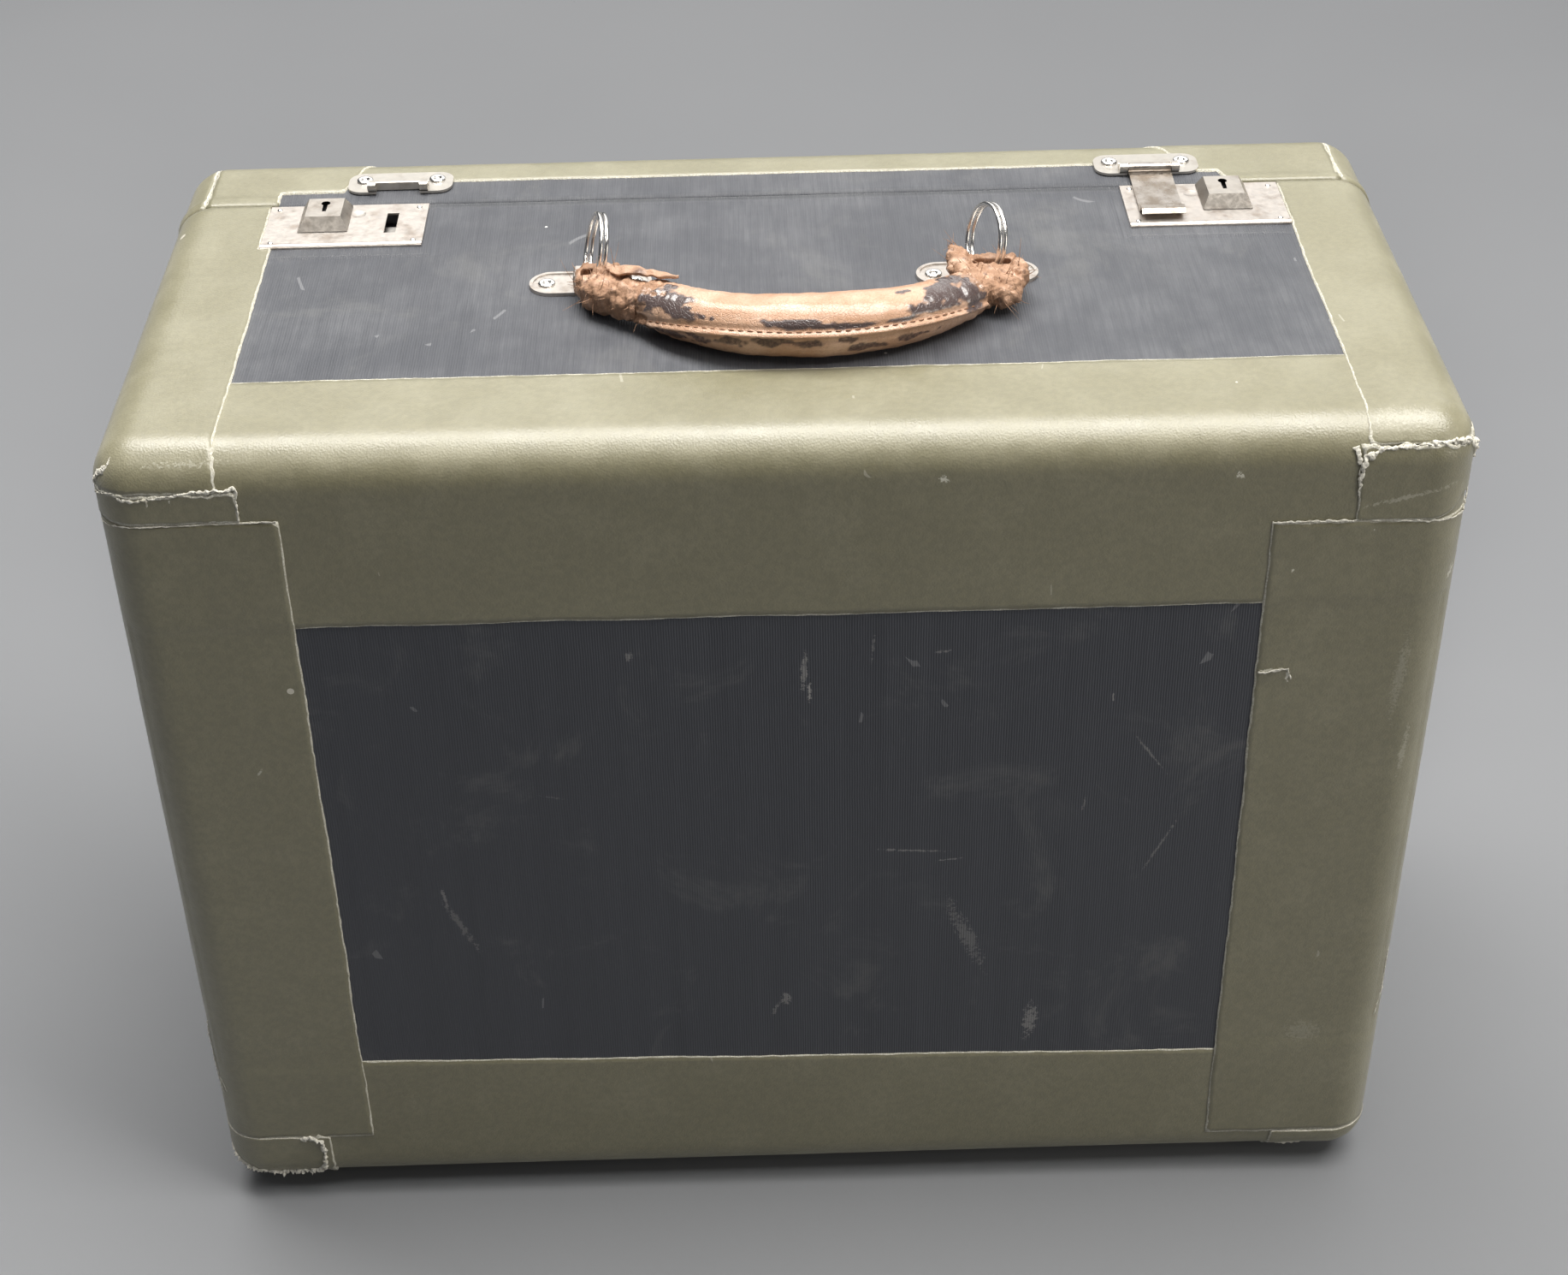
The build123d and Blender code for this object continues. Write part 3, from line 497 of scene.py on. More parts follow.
black_cloth, tree, shader, place = start_material("black_ribbed_cloth", specular=0.35, sheen=0.35)
shader.inputs["Sheen Roughness"].default_value = 0.4
facing = split(tree, turn_of(tree))
axes = split(tree, place)
on_side = calc(tree, "GREATER_THAN", calc(tree, "ABSOLUTE", facing[0]), 0.7)
across = add(tree, "ShaderNodeMix", {0: on_side, 2: axes[0], 3: axes[1]}).outputs[0]
waver = times(tree, noise(tree, place, 60.0, 2.0), 0.0006)
ribs = calc(tree, "SINE", times(tree, plus(tree, across, waver), 2 * math.pi / 0.00095))
threads = noise(tree, stretched(tree, place, (1.0, 0.05, 0.05)), 900.0, 2.0)
streaks = noise(tree, stretched(tree, place, (1.0, 0.02, 0.02)), 170.0, 3.0, 0.6)
cloth = tint(tree, streaks, (0.034, 0.037, 0.046, 1), (0.066, 0.070, 0.082, 1))
# Painted shade: the troughs between the ribs are painted darker.
cloth = tint(tree, ramp(tree, ribs, -1.0, 1.0, 0.22, 0.0), cloth, (0.014, 0.014, 0.018, 1))
# Dust and painted sheen lighten the surfaces that face up.
dust_and_sheen_mask = use(tree, dust_and_sheen, {"Place": place, "Normal": turn_of(tree), "Amount": 0.5})["Mask"]
dust_and_sheen_mask = times(tree, dust_and_sheen_mask, ramp(tree, threads, 0.3, 0.7, 0.6, 1.0))
cloth = tint(tree, dust_and_sheen_mask, cloth, (0.155, 0.158, 0.168, 1))
fluff = use(tree, flecks, {"Place": place, "Spacing": 55.0, "Size": 0.045, "Share": 0.09})["Mask"]
scuff = use(tree, scratches, {"Place": place, "Scale": 16.0, "Width": 0.0035, "Share": 0.36})["Mask"]
cloth = tint(tree, times(tree, scuff, 0.35), cloth, (0.30, 0.30, 0.31, 1))
smudge = ramp(tree, noise(tree, place, 24.0, 6.0, 0.72, 0.6), 0.53, 0.72, 0.0, 0.3)
cloth = tint(tree, smudge, cloth, (0.15, 0.15, 0.145, 1))
pale_marks = marked(tree, place, [
    (5, 271, 1.3, 9, 4, 0.55), (7, 262, 0.9, 5, 0, 0.8), (133, 229, 0.6, 11, -35, 0.4),
    (140, 183, 0.6, 15, 25, 0.35), (45, 184, 13, 0.6, 4, 0.5), (60, 179, 6, 0.5, -6, 0.5),
    (-4, 108, 2.4, 3.4, 0, 0.5), (-8, 103, 1.1, 4, 20, 0.4), (94, 93, 3.0, 10, 6, 0.5),
    (67, 140, 3.4, 19, -22, 0.28), (-130, 152, 1.6, 14, -24, 0.3), (-135, 167, 0.8, 6, -8, 0.45),
    (-58, 279, 1.4, 2.2, 0, 0.45), (56, 278, 3.5, 0.7, -4, 0.5), (30, 281, 0.6, 7, 3, 0.35),
    (118, 255, 0.5, 2, 0, 0.6), (-90, 215, 5, 0.5, 12, 0.25), (110, 205, 0.6, 4, 10, 0.3)])
cloth = tint(tree, pale_marks, cloth, (0.30, 0.29, 0.28, 1))
cloth = tint(tree, fluff, cloth, (0.62, 0.61, 0.58, 1))
height = plus(tree, ribs, times(tree, threads, 0.8))
finish_material(tree, shader, cloth, ramp(tree, streaks, 0.3, 0.7, 0.48, 0.62), height, 0.00005)

lock_x, lock_width = 168.8, 62.5
lock_front, lock_back = 34.2, 69.7
crease_x, crease_y = lock_x - lock_width / 2 - 3.2, lock_front - 7.6
near_top = 368


def cloth_creases(x, y, z):
    """Raised line in the cloth round the lock cases."""
    line = np.minimum(near_line(np.abs(x), y, (crease_x, crease_y), (crease_x, lock_back - 2)),
                      near_line(np.abs(x), y, (crease_x, crease_y), (195, crease_y)))
    on_top = (z > near_top) & (y < 70)
    return on_top * (0.45 * np.exp(-(line / 0.9) ** 2) - 0.12 * np.exp(-((line - 2.4) / 1.0) ** 2))


inner_lines = [sign * (crease_x + k * 0.5) for sign in (-1, 1) for k in range(-4, 5)]
front_lines = [crease_y + k * 0.5 for k in range(-4, 5)]
plate_half, plate_front = 29, lock_front + 2.3
plate_edges = [sign * (lock_x + half) for sign in (-1, 1) for half in (-plate_half, plate_half)]


def in_body_cloth(x, y, z):
    """All round the body, but not under the lock plates."""
    under_plate = (z > near_top) & (np.abs(np.abs(x) - lock_x) < plate_half) & (y > plate_front)
    return (y < body_mouth) & ~under_plate


skin("body_black_cloth", "body_cloth", "case_body", "black_cloth", black_cloth, in_body_cloth,
     (inner_lines + plate_edges, front_lines + [plate_front, body_mouth], []), cloth_inset, 5.0,
     bulge=cloth_creases)
skin("lid_black_cloth", "lid_cloth", "lid", "black_cloth", black_cloth, lambda x, y, z: y > lid_mouth,
     ([], [lid_mouth], []), cloth_inset, 5.0)


# Olive coverings
# Olive leatherette is pasted over the cloth: a band across the top and the bottom of the front, then
# strips and small patches round the ends. Its cut edges show the pale backing, and are frayed and curled
# at the corners.
olive, tree, shader, place = start_material("olive_leatherette", specular=0.85, sheen=0.12)
cut = stored(tree, "cut_distance")
turn = stored(tree, "turn")
ragged = stored(tree, "ragged")
broad = noise(tree, place, 7.0, 4.0, 0.55)
fine = noise(tree, place, 420.0, 3.0, 0.6)
blotch = noise(tree, place, 45.0, 5.0, 0.65)
hide = tint(tree, broad, (0.158, 0.145, 0.082, 1), (0.205, 0.189, 0.115, 1))
hide = tint(tree, ramp(tree, blotch, 0.45, 0.7, 0.0, 0.35), hide, (0.245, 0.228, 0.150, 1))
hide = tint(tree, ramp(tree, fine, 0.35, 0.65, 0.28, 0.0), hide, (0.100, 0.092, 0.055, 1))
# Dust and painted sheen lighten the surfaces that face up.
dust_and_sheen_mask = use(tree, dust_and_sheen, {"Place": place, "Normal": turn_of(tree), "Amount": 0.3})["Mask"]
hide = tint(tree, dust_and_sheen_mask, hide, (0.33, 0.315, 0.235, 1))
# Rounded edges and the top roll are lightened: partly rubbed wear, partly a painted highlight on the roll.
edge_wear_and_sheen = times(tree, turn, ramp(tree, blotch, 0.42, 0.62, 0.5, 0.95), clamp=True)
hide = tint(tree, edge_wear_and_sheen, hide, (0.30, 0.28, 0.19, 1))
chip = use(tree, flecks, {"Place": place, "Spacing": 38.0, "Size": 0.055, "Share": 0.16})["Mask"]
scrape = use(tree, scratches, {"Place": place, "Scale": 24.0, "Width": 0.004, "Share": 0.3})["Mask"]
hide = tint(tree, times(tree, scrape, 0.45), hide, (0.45, 0.43, 0.36, 1))
hide = tint(tree, chip, hide, (0.56, 0.53, 0.44, 1))
# Pale marks on the olive: most are scrapes, but the broad one at x 213 on the right of the top roll is a
# painted highlight.
pale_marks = marked(tree, place, [
    (156, 350, 1.8, 1.5, 0, 0.9, -116, 5), (178, 310, 0.8, 0.9, 0, 0.9), (205, 326, 0.7, 0.7, 0, 0.8),
    (54, 351.4, 2.0, 1.7, 0, 0.95), (236, 304, 1.2, 3.2, 20, 0.8, -110, 5), (216, 340, 17, 1.0, -14, 0.3),
    (213, 365.5, 13, 4.5, 0, 0.16, -108.5, 4.5), (175, 266, 6, 0.8, -4, 1.0), (181, 263.5, 0.9, 3, 0, 1.0),
    (-197, 231, 0.6, 2.5, 30, 0.5), (-207, 363, 18, 1.2, 0, 0.35, -112, 3), (228, 226, 1.5, 12, 4, 0.25),
    (222, 262, 2.5, 20, 3, 0.18), (205, 82, 8, 6, 0, 0.14)])
hide = tint(tree, pale_marks, hide, (0.58, 0.56, 0.47, 1))
reach = plus(tree, ramp(tree, noise(tree, place, 130.0, 3.0), 0.35, 0.7, 0.0, 0.42),
             times(tree, ragged, 1.6))
backing = ramp(tree, calc(tree, "SUBTRACT", cut, reach), 0.3, -0.1, 0.0, 0.9)
fibre = noise(tree, place, 1500.0, 2.0)
pale = tint(tree, ramp(tree, fibre, 0.3, 0.7), (0.40, 0.375, 0.29, 1), (0.66, 0.64, 0.56, 1))
hide = tint(tree, backing, hide, pale)
grain = add(tree, "ShaderNodeTexVoronoi", {"Vector": place, "Scale": 1500.0}, feature="SMOOTH_F1")
height = plus(tree, grain.outputs["Distance"], times(tree, fibre, times(tree, backing, 2.5)))
gloss = plus(tree, ramp(tree, blotch, 0.3, 0.7, 0.35, 0.46), times(tree, backing, 0.35))
finish_material(tree, shader, hide, gloss, height, 0.00009)

band_front, band_top_low, band_low_high = -68.0, 296.0, 76.0
strip_left_x, strip_right_x = -175.5, 169.0
top_left_x, top_right_x = -195.7, 200.0
left_z, right_z = (37.0, 341.6), (24.5, 330.0)
patch_left_x, patch_right_x = -188.6, 198.0
patch_tops, patch_low = (353.7, 360.7), 10.3
overlap = 0.3
roll_y = -101.0
end_x, end_low, end_high = 223.0, 57.0, 325.0


def zero(x):
    """A shift of nothing for each place."""
    return np.zeros((len(x), 3))


def lean_low_band(x, y, z):
    """The low band's upper edge drops to the right."""
    shift = zero(x)
    shift[:, 2] = -3.2 * np.clip(x / 175, -1.2, 1.2) * np.clip((z - 40) / 36, 0, 1)
    return shift


def band_step(x, y, z):
    """Small nick in the top roll."""
    spot = np.hypot(x - 54, z - 351.4)
    return -0.5 * np.exp(-(spot / 1.6) ** 2) * (y < -110)


def fray_band(x, y, z):
    """The bands lie flat where the end strips cover them."""
    return np.where((x > strip_left_x + 1) & (x < strip_right_x - 1), 0.08, 0.0)


def olive_skin(node, keep, limits, inset, step, **shape):
    """A covering of olive leatherette that stands for a CAD node."""
    body = "lid" if node.startswith("lid") else "case_body"
    skin(f"{node}_covering", node, body, "olive_leatherette", olive, keep, limits, inset, step, **shape)


olive_skin("top_front_band", lambda x, y, z: (y < band_front) & (z > band_top_low),
           ([], [band_front], [band_top_low]), 0.62, 2.4, fray=fray_band, bulge=band_step)
olive_skin("bottom_front_band", lambda x, y, z: (y < band_front) & (z < band_low_high),
           ([], [band_front], [band_low_high]), 0.66, 2.8, fray=fray_band, lean=lean_low_band)


def lean_front_strip(x, y, z):
    """The long inner edges of the front strips run slightly out of upright."""
    shift = zero(x)
    near = (y < -117.9) * np.clip((225 - np.abs(x)) / 50, 0, 1)
    shift[:, 0] = np.where(x < 0, -1.2, 1.4) * near * (340 - z) / 300
    return shift


def underlying_edges(x, y, z):
    """The bands' edges show through the front strips as low steps, and the right strip has a torn crease."""
    steps = 0.16 * np.tanh((z - band_top_low) / 0.8) - 0.16 * np.tanh((z - band_low_high) / 0.8)
    crease = -0.25 * np.exp(-((x - 207.5 - (345 - z) * 0.006) / 1.5) ** 2)
    crease = crease * (x > 0) * np.clip((z - 230) / 90, 0, 1)
    tear = 0.55 * np.exp(-((x - 178) / 5.5) ** 2 - ((z - 265 - (x - 178) * 0.3) / 1.1) ** 2)
    return (y < -117) * (steps + crease + tear)


def fray_front_strip(x, y, z):
    """The front strips are rubbed through low on their side edges."""
    worn = np.exp(-((np.abs(x) - 238) / 6) ** 2) * np.exp(-((z - 72) / 26) ** 2)
    return 0.08 + 0.06 * (z < 45) + 0.5 * worn


def beyond(x, inner):
    """Whether places lie farther out than a strip's inner edge."""
    return x < inner if inner < 0 else x > inner


for side, inner, ends in (("left", strip_left_x, left_z), ("right", strip_right_x, right_z)):
    olive_skin(f"{side}_front_strip",
               lambda x, y, z: beyond(x, inner) & (y < band_front) & (z > ends[0]) & (z < ends[1]),
               ([inner], [band_front], list(ends)), 0.2, 2.2, fray=fray_front_strip, lean=lean_front_strip,
               bulge=underlying_edges)


def lock_hole(x, y, z):
    """Where the strips are cut away round the lock plates."""
    return (z > near_top) & (np.abs(x) < lock_x + lock_width / 2 + overlap) & (y > lock_front - overlap)


def fray_top_strip(x, y, z):
    """The strips' front ends, over the rolled edge, are a little ragged."""
    return 0.08 + 0.2 * (y < -110)


for side, inner, ends, low in (("left", top_left_x, left_z, 354.0), ("right", top_right_x, right_z, 361.0)):

    def keep(x, y, z):
        """The strip over the top, and down the end as far as the front strip."""
        front_strip = (y < band_front + overlap) & (z < ends[1] + overlap)
        down_end = (np.abs(x) > end_x) & (y > roll_y) & (z > end_high) & ~front_strip
        return (y < body_mouth) & ~lock_hole(x, y, z) & beyond(x, inner) & ((z > low) | down_end)

    hole_edge = (lock_x + lock_width / 2 + overlap) * (-1 if side == "left" else 1)
    olive_skin(f"{side}_top_strip", keep,
               ([inner, hole_edge], [roll_y, band_front + overlap, lock_front - overlap, body_mouth],
                [end_high, low, ends[1] + overlap]), 0.1, 2.2, fray=fray_top_strip)


under_x, under_z = 196.0, 10.0


def in_bottom_strip(x, y, z):
    """The strips under the ends, and up the ends as far as the front strips."""
    front_strip = (y < band_front + overlap) & (z > np.where(x < 0, left_z[0], right_z[0]) - overlap)
    up_end = (np.abs(x) > end_x) & (y > roll_y) & (z < end_low) & ~front_strip
    return (y < body_mouth) & (((np.abs(x) > under_x) & (z < under_z)) | up_end)


olive_skin("bottom_strips", in_bottom_strip,
           ([-under_x, under_x], [roll_y, band_front + overlap, body_mouth],
            [under_z, right_z[0] - overlap, left_z[0] - overlap, end_low]), 0.1, 2.6)


def fray_patch(x, y, z):
    """The patches' free edges at the corners of the case are torn to thick pale threads."""
    top_edge = np.where(x < 0, *patch_tops)
    high = np.exp(-((z - top_edge) / 2.5) ** 2) * np.where(x < 0, 0.35, 0.75 + 0.25 * (x > 225))
    upright = np.exp(-((np.abs(x) - 197) / 4) ** 2) * (z > 300) * np.where(x < 0, 0.15, 0.0)
    low = np.exp(-((z - 12) / 5) ** 2) * np.where(x < 0, 0.95, 0.15)
    low_inner = (x < 0) * (z < 40) * np.exp(-((x + 196) / 4) ** 2)
    return np.clip(0.08 + high + upright + low + low_inner, 0, 1)


def lean_patch(x, y, z):
    """The upper right patch's lower edge sweeps up round the end, and its inner edge slants."""
    shift = zero(x)
    upper_right = (x > 0) & (z > 300)
    shift[:, 2] += upper_right * (361 - z) / 31 * 7 * np.clip((x - 222) / 18, 0, 1) ** 2
    shift[:, 0] -= (x < 0) * (z < 60) * 6 * np.clip((225 + x) / 28, 0, 1)
    return shift


def in_patch(x, y, z):
    """The four corner patches on the front."""
    lower_end, upper_end = (np.where(x < 0, left_z[k], right_z[k]) for k in (0, 1))
    upper = (z > upper_end + overlap) & (z < np.where(x < 0, *patch_tops))
    lower = (z > patch_low) & (z < lower_end - overlap)
    return ((x < patch_left_x) | (x > patch_right_x)) & (upper | lower) & (y < roll_y - overlap)


olive_skin("corner_patches", in_patch,
           ([patch_left_x, patch_right_x], [roll_y - overlap],
            [patch_low, left_z[0] - overlap, right_z[0] - overlap, left_z[1] + overlap,
             right_z[1] + overlap, *patch_tops]), 0.0, 1.2, fray=fray_patch, lean=lean_patch)


def tube_faces(first, stations, around):
    """Faces of a closed tube. From a first index on, its points go round it at each station in turn."""
    rings = [[first + station * around + j for j in range(around)] for station in range(stations)]
    faces = [(near[j], near[(j + 1) % around], far[(j + 1) % around], far[j])
             for near, far in zip(rings, rings[1:]) for j in range(around)]
    return faces + [rings[0][::-1], rings[-1]]


def torn_ridges(ridges):
    """Torn, curled paper backing along lines on the case, each with its half width and half height.
    Its points are x, z and a share of these sizes, and y where a point isn't flat on the front."""
    points, faces = [], []
    for seed, (route, wide, tall) in enumerate(ridges, 60):
        route = np.array([(x, *(y or (-118,)), z, share) for x, z, share, *y in route], float)
        lengths = np.concatenate(([0], np.cumsum(np.linalg.norm(np.diff(route[:, :3], axis=0), axis=1))))
        along = np.arange(0, lengths[-1], 0.3)
        line = np.stack([np.interp(along, lengths, route[:, k]) for k in range(3)], -1)
        size = np.interp(along, lengths, route[:, 3])
        line += 0.32 * wide * np.stack([ripple(line, 4.0, seed + k) for k in (0, 10, 20)], -1)
        line += 0.14 * wide * np.stack([ripple(line, 1.3, seed + k) for k in (30, 40, 50)], -1)
        middle, away = wrap(line, np.full(len(line), 0.15))
        ahead = np.gradient(middle, axis=0)
        ahead /= np.linalg.norm(ahead, axis=1)[:, None]
        sideways = np.cross(away, ahead)
        half_width = wide * size * (0.62 + 0.38 * ripple(line, 2.4, seed + 5)).clip(0.15)
        half_height = tall * size * (0.7 + 0.35 * ripple(line, 1.6, seed + 6)).clip(0.2)
        lines = []
        for j in range(10):
            angle = 2 * math.pi * j / 10
            uneven = 1 + 0.25 * ripple(line + j * 7.0, 1.1, seed + 7)
            lines.append(middle + sideways * (half_width * math.cos(angle) * uneven)[:, None]
                         + away * (half_height * (math.sin(angle) + 0.35) * uneven)[:, None])
        faces += tube_faces(len(points), len(line), 10)
        points += np.stack(lines, 1).reshape(-1, 3).tolist()
    new_piece("torn_backing", points, faces, paper, "case_body")


paper, tree, shader, place = start_material("torn_paper_backing", specular=0.2)
pulp = noise(tree, place, 900.0, 4.0, 0.7)
dirt = noise(tree, place, 90.0, 4.0, 0.6)
white = tint(tree, pulp, (0.46, 0.43, 0.35, 1), (0.80, 0.78, 0.71, 1))
white = tint(tree, ramp(tree, dirt, 0.55, 0.75, 0.0, 0.7), white, (0.30, 0.27, 0.19, 1))
finish_material(tree, shader, white, ramp(tree, pulp, 0.3, 0.7, 0.8, 0.95), pulp, 0.0003)
torn_ridges([
    ([(-240, 350, 0.7, -107), (-232, 354, 0.6), (-228, 351.5, 1.0), (-216, 352.5, 0.9),
      (-204, 354.3, 0.8), (-192, 355, 1.1), (-188.5, 355.5, 0.9), (-188.8, 342, 0.5)], 0.85, 0.6),
    ([(-219, 352, 1), (-219.5, 348.5, 0.5)], 0.7, 0.4),
    ([(-212, 352.5, 1), (-211, 349.5, 0.5)], 0.8, 0.45),
    ([(-240, 352, 0.5, -105), (-240, 360, 1.0, -112), (-239, 368, 0.5), (-233, 369, 0.15, -113)],
     1.9, 0.55),
    ([(-240, 338, 0.6, -107), (-230, 340.6, 0.8), (-189, 341.6, 0.6), (-176, 341.8, 1.0)], 0.42, 0.3),
    ([(198, 340, 0.3), (197.6, 349, 1.0), (199, 356, 1.1), (204, 359.3, 0.9), (214, 360.3, 0.8),
      (226, 361.5, 1.0), (236, 362.5, 1.2), (240, 357, 1.9, -110), (240, 349, 1.0, -106)], 1.2, 0.75),
    ([(195.5, 360.5, 1.0), (197, 353, 0.6), (197.5, 348, 0.2)], 1.5, 0.25),
    ([(169, 330.5, 0.9), (195, 330.6, 1.0), (199, 330.8, 0.5), (232, 329, 0.7), (240, 328, 1.0, -110),
      (240, 334, 1.0, -106), (240, 339, 0.3, -103)], 0.7, 0.35),
    ([(-240, 24, 0.4, -108), (-238, 16.5, 1.0), (-226, 13.5, 1.3), (-215, 12.2, 1.6), (-206, 12.6, 1.4),
      (-199.5, 17, 1.2), (-197.5, 26, 0.9), (-198.5, 34, 1.1), (-203, 37.2, 1.1), (-207, 36.2, 0.6)],
     1.35, 1.2),
    ([(-240, 96, 0.5, -109), (-240, 88, 1.2, -108), (-240, 80, 0.6, -108), (-240, 72, 1.1, -109),
      (-240, 64, 0.9, -111), (-240, 58, 0.4, -114)], 0.9, 0.5),
    ([(-240, 66, 0.8, -112), (-239, 60, 0.4)], 0.9, 0.4),
    ([(240, 121, 0.4, -112), (240, 114, 1.0, -112), (240, 106, 0.4, -113), (240, 98, 1.1, -112),
      (240, 92, 0.4, -114), (239, 86, 0.7)], 0.7, 0.4),
    ([(200, 9.4, 0.6), (206, 9.0, 1.2), (212, 9.2, 0.5)], 0.8, 0.6),
    ([(170, 265, 0.6), (176, 266, 1.0), (181, 266.5, 0.8), (182, 262, 0.4)], 0.8, 0.5)])


def lean_lid_corner(x, y, z):
    """The inner edges of the lid's corner pieces run slantwise on the top."""
    shift = zero(x)
    share = np.clip((y - 75) / 30, 0, 1.4)
    left = np.clip((x + 198) / 25, 0, 1) * (9 * share - 2)
    right = -np.clip((200 - x) / 25, 0, 1) * 15 * share
    shift[:, 0] = (z > near_top) * np.where(x < 0, left, right)
    return shift


def lid_bead(x, y, z):
    """The covering is rolled over into a bead along the lid's edge at the corners."""
    middle = np.where(x < 0, 75.5, 74.0)
    bead = 0.9 * np.exp(-((y - middle) / 2.6) ** 2) * np.clip((np.abs(x) - 176) / 4, 0, 1)
    return bead * (z > 340)


def fray_lid(x, y, z):
    """The lid's coverings are worn along the seam."""
    return 0.08 + 0.08 * (y < 84) + 0.12 * (np.abs(x) > 222) * (z > 340)


lid_band_y, lid_olive_y = 90.0, 82.0
lid_top_low, lid_low_high = 299.0, 77.0
back_low, back_high = 24.0, 352.0
corner_inner = 173.0
slit_x, slit_half = 227.0, 0.35
olive_skin("lid_top_band", lambda x, y, z: (y > lid_band_y) & (z > lid_top_low),
           ([], [lid_band_y], [lid_top_low]), 0.5, 2.6)
olive_skin("lid_bottom_band", lambda x, y, z: (y > lid_band_y) & (z < lid_low_high),
           ([], [lid_band_y], [lid_low_high]), 0.5, 3.2)
for side, corner, width in (("left", -198.0, 64.5), ("right", 181.0, 71.0)):
    sign = -1 if side == "left" else 1
    edge = high_corner[0] / mm - width

    def keep(x, y, z):
        """The strip up the back, and the corner pieces over the rim."""
        far_out = sign * x
        back_strip = (far_out > edge) & (y > lid_band_y) & (z > back_low) & (z < back_high)
        end_rim = (far_out > sign * corner) & ((z > end_high) | (z < end_low))
        broad_corner = (far_out > corner_inner) & (y > lid_olive_y) & (z > back_high)
        slit = (z > back_high) & (np.abs(far_out - slit_x) < slit_half)
        return (y > lid_mouth) & (back_strip | end_rim | broad_corner) & ~slit

    olive_skin(f"lid_{side}_strip", keep,
               ([corner, *(sign * x for x in (corner_inner, edge, slit_x - slit_half, slit_x + slit_half))],
                [lid_mouth, lid_olive_y, lid_band_y], [back_low, end_low, end_high, back_high]),
               0.1, 2.4, fray=fray_lid, lean=lean_lid_corner, bulge=lid_bead)


# Feet
# Domed steel glides, their shanks driven into the bottom board.
nickel_wear, given, result = effect("nickel_wear", {"Place": None, "Tarnish": 0.3},
                                    ("Stain", "Polish", "Pits"))
patches = noise(nickel_wear, given["Place"], 130.0, 5.0, 0.62)
stain = ramp(nickel_wear, plus(nickel_wear, patches, given["Tarnish"]), 0.75, 1.05)
nickel_wear.links.new(stain, result["Stain"])
nickel_wear.links.new(noise(nickel_wear, given["Place"], 420.0, 4.0, 0.6), result["Polish"])
nickel_wear.links.new(noise(nickel_wear, given["Place"], 2200.0, 2.0), result["Pits"])


def metal(name, bright, dull, smooth, rough, tarnish, pits=0.00002):
    """Worn plated metal that is bright in places and stained in others."""
    made, tree, shader, place = start_material(name, metallic=1.0)
    worn = use(tree, nickel_wear, {"Place": place, "Tarnish": tarnish})
    color = tint(tree, worn["Stain"], bright, dull)
    roughness = ramp(tree, worn["Polish"], 0.3, 0.7, smooth, rough)
    finish_material(tree, shader, color, roughness, worn["Pits"], pits)
    return made


foot_steel = metal("foot_steel", (0.50, 0.48, 0.45, 1), (0.28, 0.20, 0.13, 1), 0.35, 0.5, 0.35)
wear_finish("feet", foot_steel)


